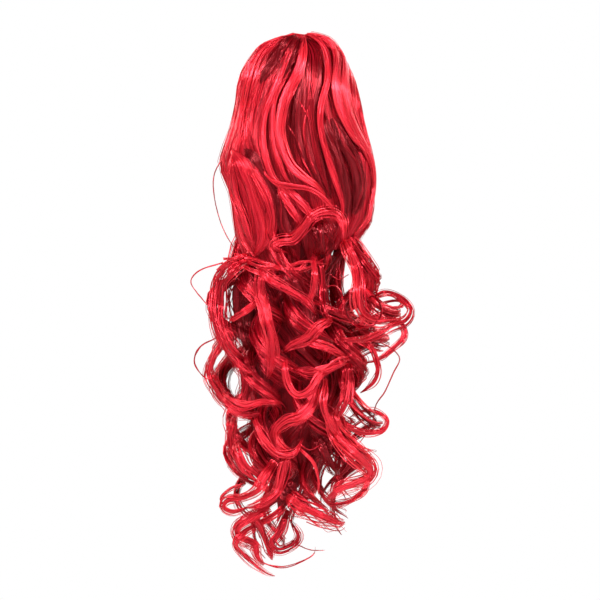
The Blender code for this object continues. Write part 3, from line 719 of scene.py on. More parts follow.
def swept_guides(density, chance):
    """The combed layer of the crown, lock beside lock from the root to below the waist."""
    guides = []
    top = crown_point(0.0, 0.0).lerp(crown_point(0.0, 180.0), 0.5) - Vector((0.0, 0.0, CROWN_SWEEP_SINK))
    lift_spread, swing_spread = CROWN_SWEEP_SPREAD
    root_width, root_thickness = CROWN_SWEEP_ROOT
    for number in range(CROWN_SWEEP_COUNT):
        row = read_combing(-180 + 360 * (number + 0.5) / CROWN_SWEEP_COUNT)
        start = CLIP_START + chance.uniform(*CLIP_START_SPREAD) if abs(row.root_turn) > CLIP_TURN else 0.0
        end = chance.uniform(*CROWN_SWEEP_ENDS)
        if GAP_TURNS[0] < row.root_turn < GAP_TURNS[1]:
            end = 1.0 + 0.5 * (end - CROWN_SWEEP_ENDS[0]) + GAP_FALL * (row.root_turn > GAP_BACK_TURN)
        lift = (row.lift + chance.uniform(-lift_spread, lift_spread)) * MILLIMETRE
        swing = row.swing + chance.uniform(-swing_spread, swing_spread)
        fullness = chance.uniform(*CROWN_SWEEP_FULLNESS)
        line = LockLine()
        if start == 0.0:
            upward = Vector((0.0, 0.0, 1.0))
            line.add(top, upward, CROWN_SWEEP_WIDTH * root_width, CROWN_SWEEP_THICKNESS * root_thickness)
        for i in range(CROWN_SWEEP_RINGS):
            along = i / (CROWN_SWEEP_RINGS - 1)
            drop = start + (end - start) * along ** CROWN_SWEEP_CROWDING
            turn = row.root_turn + (row.waist_turn - row.root_turn) * along
            turn += swing * math.sin(math.pi * along)
            inside = min(drop, 1.0)
            normal = crown_normal(inside, turn)
            point = below_waist(drop, turn, lift) if drop > 1.0 else crown_point(drop, turn) + normal * lift
            size = fullness * max(read_section(CROWN_SECTIONS, inside).width, CROWN_SWEEP_NARROWEST)
            size *= min(1.0, CROWN_SWEEP_TIP + (1 - along) * CROWN_SWEEP_TIP_RATE)
            thickness = CROWN_SWEEP_THICKNESS * min(root_thickness + along * CROWN_SWEEP_THICKENING, 1.0)
            line.add(point, normal, CROWN_SWEEP_WIDTH * size, thickness)
        strands = round(density * CROWN_SWEEP_WIDTH * 2)
        guides.append(line.guide(strands, chance.uniform(*CROWN_SWEEP_PAINTED_SHADE)))
    return guides


def draped_guide(row, density):
    """A lock from its row's points, laid on the front of the crown's form."""
    flat = [Vector((across * STEP, 0.0, TOP_Z - drop * STEP)) for across, drop in row.points]
    count = DRAPED_STEPS * len(row.points)
    root = NARROW_ROOT if row.points[0][1] > ROOT_REACH else LOCK_ROOT
    line = LockLine()
    for i, point in enumerate(spread_path(flat, count)):
        drop = min(max((TOP_Z - point.z) / CROWN_HEIGHT, 0.0), 1.0)
        section = read_section(CROWN_SECTIONS, drop)
        sine = (point.x - CROWN_WIDTH / 2 * section.shift) / (CROWN_WIDTH / 2 * section.width)
        turn = math.degrees(math.asin(min(max(sine, -WIDEST_SINE), WIDEST_SINE)))
        normal = crown_normal(drop, turn)
        placed = crown_point(drop, turn)
        placed.z = point.z
        along = i / (count - 1)
        lift = row.lift * MILLIMETRE - ROOT_DEPTH * near_ends(along, ROOT_SHARE)
        half_width = row.width * MILLIMETRE * lock_size(along, root=root)
        line.add(placed + normal * lift, normal, half_width, half_width / 2)
    return line.guide(round(density * row.width * 2 * MILLIMETRE), row.tone)


def free_guide(row, density, chance=None):
    """A lock from its row's points. With chance it weaves through the mass and dives in at its ends."""
    points = [
        Vector((across * STEP, -TAIL_FORWARD - out * TAIL_FRONT, TOP_Z - drop * STEP))
        for across, drop, out in row.points
    ]
    count = FREE_STEPS * len(points)
    path = spread_path(points, count)
    middle = sum(path, Vector()) / count
    phase = chance.uniform(0, 2 * math.pi) if chance else 0.0
    weave = WEAVE_DEPTH if chance else 0.0
    dive = DIVE_DEPTH if chance else 0.0
    travelled = 0.0
    line = LockLine()
    for i, point in enumerate(path):
        along = i / (count - 1)
        outward = point - middle
        outward.y -= FREE_FACING
        travelled += (point - path[i - 1]).length if i else 0.0
        wave = weave * math.sin(phase + 2 * math.pi * travelled / WEAVE_LENGTH)
        point.y += dive * near_ends(along, DIVE_SHARE, power=2) + wave
        half_width = row.width * MILLIMETRE * lock_size(along, FREE_LOCK_TIP, FREE_LOCK_ROOT)
        line.add(point, outward.normalized(), half_width, half_width / 2)
    strands = max(round(density * row.width * 2 * MILLIMETRE), FEWEST_STRANDS)
    return line.guide(strands, row.tone)


def curl_guide(row, share, density, chance):
    """One combed share of a ringlet, from inside the waist to its tip."""
    count = round(row.turns * CURL_RINGS_A_TURN) + CURL_ROOT_RINGS
    waist = read_section(CROWN_SECTIONS, 1.0)
    root_turn = math.radians(row.root_turn)
    root = Vector((
        CROWN_WIDTH / 2 * (waist.shift + CURL_ROOT_SHARE * waist.width * math.sin(root_turn)),
        -CROWN_FORWARD - CROWN_DEPTH / 2 * CURL_ROOT_SHARE * waist.depth * math.cos(root_turn),
        WAIST_Z + CURL_WIDTH,
    ))
    phase = share.phase + chance.uniform(-CURL_PHASE_SPREAD, CURL_PHASE_SPREAD)
    wobble = chance.uniform(0, 2 * math.pi)
    line = LockLine()
    for i in range(count):
        part = i / (count - 1)
        along = share.end * part
        middle = Vector((
            TAIL_WIDTH / 2 * (row.across_top + (row.across_end - row.across_top) * along),
            -TAIL_FORWARD + TAIL_DEPTH / 2 * (row.depth_top + (row.depth_end - row.depth_top) * along),
            WAIST_Z - (row.end * along + share.drop) * TAIL_LENGTH,
        ))
        tip = max(part - (1 - CURL_TIP), 0.0) / CURL_TIP
        angle = math.radians(row.phase + phase * min(along / CURL_SHARE_LEAVE, 1.0))
        angle += 2 * math.pi * row.turns * along
        angle += CURL_TIP_TURN * tip * tip
        leave = min(along / CURL_LEAVE, 1.0)
        leave = leave * leave * (3 - 2 * leave)
        reach = CURL_RADIUS * row.radius * share.radius * (1.0 - CURL_NARROWING * along)
        reach *= 1.0 - CURL_TIP_NARROWING * tip
        reach *= 1 + CURL_WOBBLE * math.sin(wobble + CURL_WOBBLE_PACE * along)
        spoke = Vector((math.cos(angle), math.sin(angle), row.loop * math.sin(angle)))
        swollen = math.sin(math.pi * min(along + CURL_SWELL_START, 1.0) ** CURL_SWELL_POWER)
        swell = CURL_SWELL[0] + CURL_SWELL[1] * swollen
        size = swell * (CURL_TIP_SIZE + (1 - CURL_TIP_SIZE) * min((1 - part) / CURL_TAPER, 1.0))
        half_width = CURL_WIDTH / 2 * row.width * share.width * size
        half_thickness = CURL_THICKNESS / 2 * size * CURL_FLATNESS
        line.add(root.lerp(middle + spoke * reach, leave), spoke, half_width, half_thickness)
    return line.guide(round(density * CURL_WIDTH * row.width * share.width), share.tone)


def core_guide():
    """The bulk of the tail as one thick lock."""
    line = LockLine()
    for i in range(CORE_RINGS):
        drop = TAIL_SECTIONS[-1].drop * i / (CORE_RINGS - 1)
        section = read_section(TAIL_SECTIONS, drop)
        point = Vector((TAIL_WIDTH / 2 * section.shift, -TAIL_FORWARD, WAIST_Z - drop * TAIL_LENGTH))
        taper = min((CORE_RINGS - i) / CORE_TAPER_RINGS, 1.0)
        half_width = TAIL_WIDTH / 2 * section.width * taper
        half_thickness = TAIL_DEPTH / 2 * section.depth * taper
        line.add(point, Vector((0.0, -1.0, 0.0)), half_width, half_thickness)
    return line.guide(0, CORE_PAINTED_SHADE)


def wave_guides(density, chance):
    """Soft waves combed down the tail's bulk, which fill in between the ringlets."""
    guides = []
    strands = round(density * CORE_WAVE_WIDTH * 2)
    for number in range(CORE_WAVE_COUNT):
        first_turn = 360 * number / CORE_WAVE_COUNT
        start = chance.uniform(0, 2 * math.pi)
        bend = chance.uniform(*CORE_WAVE_BENDS)
        turns = chance.uniform(*CORE_WAVE_TURNS)
        end = chance.uniform(*CORE_WAVE_ENDS)
        line = LockLine()
        for i in range(CORE_WAVE_RINGS):
            along = i / (CORE_WAVE_RINGS - 1)
            drop = end * along
            section = read_section(TAIL_SECTIONS, drop)
            angle = math.radians(first_turn + bend * math.sin(start + 2 * math.pi * turns * along))
            ripple = 1.0 + CORE_WAVE_RIPPLE * math.sin(2 * start + 2 * math.pi * turns * along)
            normal = Vector((math.sin(angle), -math.cos(angle), 0.0))
            point = Vector((
                TAIL_WIDTH / 2 * (section.shift + section.width * ripple * normal.x),
                -TAIL_FORWARD + TAIL_DEPTH / 2 * section.depth * ripple * normal.y,
                WAIST_Z - drop * TAIL_LENGTH,
            ))
            size = lock_size(along)
            line.add(point, normal, CORE_WAVE_WIDTH * size, CORE_WAVE_THICKNESS * size)
        guides.append(line.guide(strands, chance.uniform(*CORE_WAVE_PAINTED_SHADE)))
    return guides


def place_mesh(name, mesh):
    """A mesh in the scene, as an object of that name."""
    made = bpy.data.objects.new(name, mesh)
    bpy.context.scene.collection.objects.link(made)
    return made


@contextmanager
def editing(mesh):
    """A mesh opened for editing, which is written back at the end."""
    work = bmesh.new()
    work.from_mesh(mesh)
    yield work
    work.to_mesh(mesh)
    work.free()


def guide_object(name, guides):
    """A mesh of bare lines that carries each guide's axes, sizes and tone, its painted light and shade, for
    the node trees.
    """
    vertices = []
    edges = []
    columns = {
        "side": [],
        "lift": [],
        "half_width": [],
        "half_thickness": [],
        "full_width": [],
        "tone": [],
        "strands": [],
        "lock": [],
    }
    for number, guide in enumerate(guides):
        first = len(vertices)
        count = len(guide.path)
        vertices.extend(guide.path)
        edges.extend((first + i, first + i + 1) for i in range(count - 1))
        columns["side"].extend(guide.sides)
        columns["lift"].extend(guide.lifts)
        columns["half_width"].extend(guide.half_widths)
        columns["half_thickness"].extend(guide.half_thicknesses)
        columns["full_width"].extend([max(guide.half_widths)] * count)
        columns["tone"].extend([guide.tone] * count)
        columns["strands"].extend([guide.strands] * count)
        columns["lock"].extend([number] * count)
    mesh = bpy.data.meshes.new(name)
    mesh.from_pydata(vertices, edges, [])
    for column, values in columns.items():
        if column in ("side", "lift"):
            parts = [part for vector in values for part in vector]
            mesh.attributes.new(column, "FLOAT_VECTOR", "POINT").data.foreach_set("vector", parts)
        else:
            kind = "INT" if column in ("strands", "lock") else "FLOAT"
            mesh.attributes.new(column, kind, "POINT").data.foreach_set("value", values)
    return place_mesh(name, mesh)


def out(node, name=None):
    """A node's named output, or its first one in use."""
    return next(s for s in node.outputs if s.enabled and (name is None or s.name == name))


class Nodes:
    """Adds nodes to one tree, and returns them or their output sockets."""

    def __init__(self, tree):
        self.tree = tree

    def fill(self, node, inputs):
        """Links or sets a node's inputs by name or number."""
        for name, value in inputs.items():
            socket = node.inputs[name] if isinstance(name, int) else next(
                s for s in node.inputs if s.name == name and s.enabled
            )
            if isinstance(value, bpy.types.NodeSocket):
                self.tree.links.new(value, socket)
            else:
                socket.default_value = value

    def add(self, kind, inputs=None, **settings):
        node = self.tree.nodes.new(kind)
        for key, value in settings.items():
            setattr(node, key, value)
        self.fill(node, inputs or {})
        return node

    def make(self, kind, inputs=None, output=None, **settings):
        """Adds a node and returns its named output, or its first one in use."""
        return out(self.add(kind, inputs, **settings), output)

    def math(self, operation, *values):
        return self.make("ShaderNodeMath", dict(enumerate(values)), operation=operation)

    def plus(self, first, second):
        return self.math("ADD", first, second)

    def times(self, first, second):
        return self.math("MULTIPLY", first, second)

    def times_plus(self, first, second, third):
        return self.math("MULTIPLY_ADD", first, second, third)

    def scale(self, vector, factor):
        return self.make("ShaderNodeVectorMath", {0: vector, 3: factor}, operation="SCALE")

    def stretch(self, vector, factors):
        return self.make("ShaderNodeVectorMath", {0: vector, 1: factors}, operation="MULTIPLY")

    def plus_vector(self, first, second):
        return self.make("ShaderNodeVectorMath", {0: first, 1: second}, operation="ADD")

    def vector(self, *parts):
        return self.make("ShaderNodeCombineXYZ", dict(enumerate(parts)))

    def noise(self, place, output, detail=1.0, scale=1.0, roughness=0.5):
        inputs = {"Vector": place, "Scale": scale, "Detail": detail, "Roughness": roughness}
        return self.make("ShaderNodeTexNoise", inputs, output)

    def between(self, low, high, number, seed):
        """A random value for each number."""
        inputs = {"Min": low, "Max": high, "ID": number, "Seed": seed}
        return self.make("FunctionNodeRandomValue", inputs, data_type="FLOAT")

    def read(self, name, kind="FLOAT"):
        """A named attribute, in a tree of geometry nodes."""
        return self.make("GeometryNodeInputNamedAttribute", {"Name": name}, "Attribute", data_type=kind)

    def look_up(self, name, output="Fac"):
        """A named attribute, in a material."""
        return self.add("ShaderNodeAttribute", attribute_name=name).outputs[output]

    def store(self, geometry, name, value, kind="FLOAT", domain="POINT"):
        inputs = {"Geometry": geometry, "Name": name, "Value": value}
        return self.make("GeometryNodeStoreNamedAttribute", inputs, data_type=kind, domain=domain)

    def ramp(self, factor, stops):
        node = self.tree.nodes.new("ShaderNodeValToRGB")
        self.tree.links.new(factor, node.inputs["Fac"])
        elements = node.color_ramp.elements
        while len(elements) < len(stops):
            elements.new(0.5)
        for element, (place, colour) in zip(elements, stops):
            element.position = place
            element.color = (*colour, 1.0)
        return node.outputs["Color"]

    def bump(self, height, strength, distance):
        inputs = {"Height": height, "Strength": strength, "Distance": distance}
        return self.make("ShaderNodeBump", inputs)


# Each clump of strands draws its share of the lock's half sizes and the pace of its waves
CLUMP_RADII = (0.70, 1.10)
CLUMP_PACES = (4.0, 12.0)
SPLAY_PACE = 1.4
# A few strands stray outwards and a few end early. The powers keep them few.
STRAY_REACH = 0.7
STRAY_POWER = 6.0
SHORT_POWER = 2.0
FRIZZ_PACE = 7.0
FRIZZ_STEP = 0.731
CLUMP_NUMBER_STEP = 211.0
# How much of a strand's tint is its own, and how much its clump's
OWN_TINT = 0.6
CLUMP_TINT = 0.4
STRAND_SIZES = (0.7, 1.25)
STRAND_TAPER = -0.72
STRAND_TAPER_POWER = 5.0
STRAND_SIDES = 3
STRAND_INPUTS = (
    ("Strand Radius", "NodeSocketFloat", 0.00034),
    ("Clump Size", "NodeSocketFloat", 4.0),
    ("Clump Spread", "NodeSocketFloat", 0.16),
    ("Arc", "NodeSocketFloat", 3.7),
    ("Wander", "NodeSocketFloat", 0.25),
    ("Splay", "NodeSocketFloat", 0.24),
    ("Frizz", "NodeSocketFloat", 0.0012),
    ("Shortest", "NodeSocketFloat", 0.3),
    ("Seed", "NodeSocketInt", SEED),
    ("Material", "NodeSocketMaterial", None),
)
BODY_INPUTS = (
    ("Sides", "NodeSocketInt", 14),
    ("Fullness", "NodeSocketFloat", 0.68),
    ("Ridges", "NodeSocketFloat", 0.5),
    ("Material", "NodeSocketMaterial", None),
)
# A fill's ridges and streaks are drawn on millimetres round the lock and metres along it
PER_METRE = 1000.0
RIDGE_SCALE = (0.45, 0.45, 14.0)
STREAK_SCALE = (1.1, 1.1, 26.0)
LOCK_PATTERN_STEP = 53.1
PROFILE_RADIUS = 0.001


def new_tree(name, inputs):
    """A geometry node tree with named inputs, and the sockets of those inputs."""
    tree = bpy.data.node_groups.new(name, "GeometryNodeTree")
    tree.interface.new_socket("Geometry", in_out="INPUT", socket_type="NodeSocketGeometry")
    for label, kind, value in inputs:
        socket = tree.interface.new_socket(label, in_out="INPUT", socket_type=kind)
        if value is not None:
            socket.default_value = value
    tree.interface.new_socket("Geometry", in_out="OUTPUT", socket_type="NodeSocketGeometry")
    return Nodes(tree), tree.nodes.new("NodeGroupInput").outputs


def finish_tree(nodes, geometry, material):
    smooth = nodes.make("GeometryNodeSetShadeSmooth", {"Geometry": geometry})
    real = nodes.make("GeometryNodeRealizeInstances", {"Geometry": smooth})
    painted = nodes.make("GeometryNodeSetMaterial", {"Geometry": real, "Material": material})
    nodes.add("NodeGroupOutput", {"Geometry": painted})
    return nodes.tree


def guide_curves(nodes, given):
    """The guide lines as curves, one for each lock."""
    return nodes.make("GeometryNodeMeshToCurve", {"Mesh": given["Geometry"]})


def section_offset(nodes, angle, radius):
    """A place in a lock's section, as an offset from its middle line."""
    parts = []
    for function, axis, size in (("COSINE", "side", "half_width"), ("SINE", "lift", "half_thickness")):
        reach = nodes.times(nodes.math(function, angle), radius)
        reach = nodes.times(reach, nodes.read(size))
        parts.append(nodes.scale(nodes.read(axis, "FLOAT_VECTOR"), reach))
    return nodes.plus_vector(*parts)


def strands_tree():
    """Geometry nodes that comb strands along the guide lines of locks."""
    nodes, given = new_tree("comb_strands", STRAND_INPUTS)
    seeds = [nodes.plus(given["Seed"], float(step)) for step in range(10)]
    copies = nodes.add(
        "GeometryNodeDuplicateElements",
        {"Geometry": guide_curves(nodes, given), "Amount": nodes.read("strands", "INT")},
        domain="SPLINE",
    )
    index = nodes.make("GeometryNodeInputIndex")
    numbered = nodes.store(out(copies, "Geometry"), "strand", index, "INT", "CURVE")
    clump = nodes.math("FLOOR", nodes.math("DIVIDE", out(copies, "Duplicate Index"), given["Clump Size"]))
    clump = nodes.times_plus(nodes.read("lock", "INT"), CLUMP_NUMBER_STEP, clump)
    clumped = nodes.store(numbered, "clump", clump, "INT", "CURVE")

    strand = nodes.read("strand", "INT")
    clump = nodes.read("clump", "INT")
    along = nodes.make("GeometryNodeSplineParameter", output="Factor")
    phase = nodes.between(0.0, 2 * math.pi, clump, seeds[0])
    place = nodes.between(-0.5, 0.5, clump, seeds[1])
    angle = nodes.times_plus(place, given["Arc"], math.pi / 2)
    own = nodes.between(-1.0, 1.0, strand, seeds[2])
    angle = nodes.times_plus(own, given["Clump Spread"], angle)
    pace = nodes.between(*CLUMP_PACES, clump, seeds[3])
    wave = nodes.math("SINE", nodes.times_plus(along, pace, phase))
    angle = nodes.times_plus(wave, given["Wander"], angle)
    radius = nodes.between(*CLUMP_RADII, clump, seeds[4])
    swing = nodes.math("COSINE", nodes.times_plus(along, nodes.times(pace, SPLAY_PACE), phase))
    radius = nodes.times_plus(swing, given["Splay"], radius)
    stray = nodes.math("POWER", nodes.between(0.0, 1.0, strand, seeds[5]), STRAY_POWER)
    radius = nodes.times_plus(stray, STRAY_REACH, radius)
    noise_at = nodes.vector(nodes.times(along, FRIZZ_PACE), nodes.times(strand, FRIZZ_STEP))
    frizz = nodes.plus_vector(nodes.noise(noise_at, "Color"), (-0.5, -0.5, -0.5))
    frizz = nodes.scale(frizz, given["Frizz"])
    offset = nodes.plus_vector(section_offset(nodes, angle, radius), frizz)
    moved = nodes.make("GeometryNodeSetPosition", {"Geometry": clumped, "Offset": offset})
    short = nodes.math("POWER", nodes.between(0.0, 1.0, strand, seeds[6]), SHORT_POWER)
    end = nodes.math("SUBTRACT", 1.0, nodes.times(short, given["Shortest"]))
    trimmed = nodes.make("GeometryNodeTrimCurve", {"Curve": moved, "End": end}, mode="FACTOR")
    tint = nodes.between(0.0, OWN_TINT, strand, seeds[7])
    tint = nodes.plus(tint, nodes.between(0.0, CLUMP_TINT, clump, seeds[8]))
    tinted = nodes.store(trimmed, "strand_tint", tint)
    tinted = nodes.store(tinted, "flow", nodes.make("GeometryNodeInputTangent"), "FLOAT_VECTOR")
    taper = nodes.times_plus(nodes.math("POWER", along, STRAND_TAPER_POWER), STRAND_TAPER, 1.0)
    size = nodes.times(taper, nodes.between(*STRAND_SIZES, strand, seeds[9]))
    size = nodes.times(size, given["Strand Radius"])
    circle = {"Resolution": STRAND_SIDES, "Radius": 1.0}
    profile = nodes.make("GeometryNodeCurvePrimitiveCircle", circle, "Curve", mode="RADIUS")
    tubes = nodes.make(
        "GeometryNodeCurveToMesh",
        {"Curve": tinted, "Profile Curve": profile, "Scale": size, "Fill Caps": True},
    )
    return finish_tree(nodes, tubes, given["Material"])


def bodies_tree():
    """Geometry nodes that fill each lock with one finely ridged body along its guide line."""
    nodes, given = new_tree("fill_locks", BODY_INPUTS)
    length = nodes.make("GeometryNodeSplineParameter", output="Length")
    measured = nodes.store(guide_curves(nodes, given), "length", length)
    measured = nodes.store(measured, "flow", nodes.make("GeometryNodeInputTangent"), "FLOAT_VECTOR")
    centred = nodes.store(measured, "centre", nodes.make("GeometryNodeInputPosition"), "FLOAT_VECTOR")
    circle = {"Resolution": given["Sides"], "Radius": PROFILE_RADIUS}
    profile = nodes.make("GeometryNodeCurvePrimitiveCircle", circle, "Curve", mode="RADIUS")
    turn = nodes.times(nodes.make("GeometryNodeSplineParameter", output="Factor"), 2 * math.pi)
    profile = nodes.store(profile, "ring_angle", turn)
    tubes = nodes.make(
        "GeometryNodeCurveToMesh", {"Curve": centred, "Profile Curve": profile, "Fill Caps": True}
    )
    angle = nodes.read("ring_angle")
    full = nodes.times(nodes.read("full_width"), PER_METRE)
    shift = nodes.times(nodes.read("lock", "INT"), LOCK_PATTERN_STEP)
    across = nodes.times_plus(nodes.math("COSINE", angle), full, shift)
    combed = nodes.vector(across, nodes.times(nodes.math("SINE", angle), full), nodes.read("length"))
    marked = nodes.store(tubes, "combed", combed, "FLOAT_VECTOR")
    noise = nodes.noise(nodes.stretch(combed, RIDGE_SCALE), "Fac")
    ridge = nodes.times(nodes.math("SUBTRACT", noise, 0.5), given["Ridges"])
    offset = section_offset(nodes, angle, nodes.plus(given["Fullness"], ridge))
    position = nodes.plus_vector(nodes.read("centre", "FLOAT_VECTOR"), offset)
    placed = nodes.make("GeometryNodeSetPosition", {"Geometry": marked, "Position": position})
    return finish_tree(nodes, placed, given["Material"])


def grow(name, guides, make_tree, material, **values):
    """Runs a node tree along the guides and returns its result as one plain mesh object."""
    lines = guide_object(f"{name}_guides", guides)
    tree = make_tree()
    modifier = lines.modifiers.new("grow", "NODES")
    modifier.node_group = tree
    sockets = {item.name: item.identifier for item in tree.interface.items_tree if item.in_out == "INPUT"}
    modifier[sockets["Material"]] = material
    for label, value in values.items():
        modifier[sockets[label.replace("_", " ").title()]] = value
    graph = bpy.context.evaluated_depsgraph_get()
    mesh = bpy.data.meshes.new_from_object(lines.evaluated_get(graph))
    mesh.name = name
    with editing(mesh) as work:
        bmesh.ops.recalc_face_normals(work, faces=work.faces)
    made = place_mesh(name, mesh)
    bpy.data.objects.remove(lines, do_unlink=True)
    bpy.data.node_groups.remove(tree)
    return made


def dress(piece, slot, *replaced):
    """Hangs a piece on the hairpiece's one body, and hides the imported parts that it stands for."""
    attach(piece, "root")
    if replaced:
        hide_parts(*replaced)


def dress_locks(name, guides, body, strands):
    """Grows the fill and the strands of one group of locks."""
    fill = bpy.data.materials["red_combed_fill"]
    fibre = bpy.data.materials["red_strands"]
    dress(grow(f"{name}_fill", guides, bodies_tree, fill, **body), "red_hair")
    dress(grow(f"{name}_strands", guides, strands_tree, fibre, **strands), "red_hair")


def under_body(name, node, material):
    """The bulk of hair under the strands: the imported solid's form, softened and sunk a little."""
    mesh = bpy.data.meshes.new(name)
    with editing(mesh) as work:
        work.from_mesh(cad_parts[node].data)
        bmesh.ops.remove_doubles(work, verts=work.verts, dist=SAME_PLACE)
    made = place_mesh(name, mesh)
    remesh = made.modifiers.new("remesh", "REMESH")
    remesh.mode = "VOXEL"
    remesh.voxel_size = UNDER_VOXEL
    soften = made.modifiers.new("soften", "SMOOTH")
    soften.factor = UNDER_SOFTENING
    soften.iterations = UNDER_PASSES
    graph = bpy.context.evaluated_depsgraph_get()
    plain = bpy.data.meshes.new_from_object(made.evaluated_get(graph))
    made.modifiers.clear()
    made.data = plain
    plain.name = name
    with editing(plain) as work:
        work.normal_update()
        for vertex in work.verts:
            vertex.co -= vertex.normal * UNDER_SINK
    plain.materials.clear()
    plain.materials.append(material)
    plain.shade_smooth()
    return made


def new_material(name):
    """A material, the maker of its nodes, and its shader."""
    material = bpy.data.materials.new(name)
    material.use_nodes = True
    return material, Nodes(material.node_tree), material.node_tree.nodes["Principled BSDF"]


def hair_ramp(nodes, value, settings):
    """The fibre's colour, from painted deep shadow to painted light, set by random tint and the lock's
    painted tone.
    """
    deep = Vector(settings.shadow_colour)
    main = Vector(settings.main_colour)
    bright = Vector(settings.bright_colour)
    return nodes.ramp(value, ((0.0, deep * 0.5), (0.30, deep), (0.60, main), (0.95, bright)))


def with_painted_light(nodes, value):
    """A value from 0 to 1 moved by the tone of the lock that it is in, which is painted light and shade."""
    part = nodes.times_plus(value, STREAK_SHARE, STREAK_START)
    return nodes.times_plus(nodes.look_up("tone"), PAINTED_LIGHT_SHARE, part)


def finish_fibre(nodes, shader, settings):
    """The fibre's gloss, drawn out across the strands."""
    nodes.fill(shader, {
        "Tangent": nodes.look_up("flow", "Vector"),
        "Anisotropic": 0.8,
        "Anisotropic Rotation": 0.25,
        "Roughness": settings.roughness,
        "Specular IOR Level": 1.0,
        "IOR": 1.6,
        "Metallic": settings.sheen,
        "Specular Tint": (*settings.gloss_colour, 1.0),
    })


def strand_material(settings):
    """Glossy red fibre, each strand a little lighter or darker than the next, and each lock lighter or
    darker by its tone, as painted light and shade.
    """
    material, nodes, shader = new_material("red_strands")
    tint = nodes.look_up("strand_tint")
    nodes.fill(shader, {"Base Color": hair_ramp(nodes, with_painted_light(nodes, tint), settings)})
    finish_fibre(nodes, shader, settings)
    return material


def body_material(settings):
    """The fill of each lock, with fine combed streaks in its colour and its surface, painted darker than
    its strands as painted shade under them, and lighter or darker by its lock's tone, as painted light and
    shade.
    """
    material, nodes, shader = new_material("red_combed_fill")
    place = nodes.stretch(nodes.look_up("combed", "Vector"), STREAK_SCALE)
    noise = nodes.noise(place, "Fac", detail=3.0, roughness=0.65)
    contrast = {"Value": noise, "From Min": 0.36, "From Max": 0.66}
    streak = nodes.make("ShaderNodeMapRange", contrast, "Result")
    value = nodes.math("SUBTRACT", with_painted_light(nodes, streak), FILL_PAINTED_SHADE)
    nodes.fill(shader, {
        "Base Color": hair_ramp(nodes, value, settings),
        "Normal": nodes.bump(noise, 0.7, 0.0014),
    })
    finish_fibre(nodes, shader, settings)
    return material


def under_material(settings):
    """The bulk under the locks, painted in the shadow colour and darker, as painted shade under them, with
    streaks that run down it.
    """
    material, nodes, shader = new_material("red_under_hair")
    place = nodes.add("ShaderNodeTexCoord").outputs["Object"]
    stretched = nodes.make("ShaderNodeMapping", {"Vector": place, "Scale": UNDER_STREAK_SCALE})
    noise = nodes.noise(stretched, "Fac", detail=3.0)
    deep = Vector(settings.shadow_colour)
    nodes.fill(shader, {
        "Base Color": nodes.ramp(noise, ((0.3, deep * 0.3), (0.7, deep))),
        "Normal": nodes.bump(noise, 0.6, 0.001),
        "Roughness": 0.6,
    })
    return material


def clip_material(settings):
    """Dark moulded plastic with a faint grain."""
    material, nodes, shader = new_material("clip_plastic")
    place = nodes.add("ShaderNodeTexCoord").outputs["Object"]
    noise = nodes.noise(place, "Fac", detail=4.0, scale=160.0)
    tone = Vector(settings.colour)
    nodes.fill(shader, {
        "Base Color": nodes.ramp(noise, ((0.3, tone * 0.8), (0.7, tone * 1.3))),
        "Normal": nodes.bump(noise, 0.12, 0.0004),
        "Roughness": 0.3,
        "Coat Weight": 0.3,
    })
    return material


def colour_setting(name, what, colour):
    return bpy.props.FloatVectorProperty(name=name, description=what, default=colour, subtype="COLOR")


def length_setting(name, what, metres, **more):
    return bpy.props.FloatProperty(name=name, description=what, default=metres, unit="LENGTH", **more)


def value_setting(name, what, value, **more):
    return bpy.props.FloatProperty(name=name, description=what, default=value, **more)


class HairSettings(bpy.types.PropertyGroup):
    strand_radius: length_setting("Strand Radius", "Radius of one strand", 0.00034, precision=5)
    flyaway_radius: length_setting("Stray Radius", "Radius of a strand that strays", 0.00055, precision=5)
    crown_density: value_setting("Crown Density", "Strands for each metre of a crown lock's width", 1300.0)
    lock_density: value_setting("Lock Density", "Strands for each metre of a front lock's width", 2000.0)
    curl_density: value_setting("Curl Density", "Strands for each metre of a ringlet's width", 1520.0)
    roughness: value_setting("Roughness", "Roughness of the fibre", 0.24, min=0.0, max=1.0)
    sheen: value_setting("Sheen", "Share of the gloss in the fibre's own red", 0.5, min=0.0, max=1.0)
    main_colour: colour_setting("Main Colour", "Colour of most strands", (0.72, 0.010, 0.030))
    # The shadow colour is painted shade and the bright colour painted light, which the locks' tones reach;
    # the main colour is the fibre's own.
    shadow_colour: colour_setting("Shadow Colour", "Colour of the deepest strands", (0.36, 0.002, 0.010))
    bright_colour: colour_setting("Bright Colour", "Colour of the lightest strands", (0.98, 0.05, 0.07))
    gloss_colour: colour_setting("Gloss Colour", "Colour of the fibre's highlights", (1.0, 0.32, 0.36))


class ClipSettings(bpy.types.PropertyGroup):
    colour: colour_setting("Clip Colour", "Colour of the moulded clip", (0.022, 0.016, 0.016))


class StageSettings(bpy.types.PropertyGroup):
    camera_distance: length_setting("Camera Distance", "From the camera to the tail's middle", 2.6)
    key_power: value_setting("Left Light", "Power of the left light in watts", 43.0)
    fill_power: value_setting("Right Light", "Power of the right light in watts", 40.0)
    back_power: value_setting("Back Lights", "Power of each back light in watts", 11.0)
    floor_radius: length_setting("Floor", "Radius of the round paper floor", 1.7)
    floor_drop: length_setting("Floor Drop", "From the lowest curl down to the floor", 0.40)
    world_strength: value_setting("Sky", "Strength of the light from above and below the horizon", 0.14)


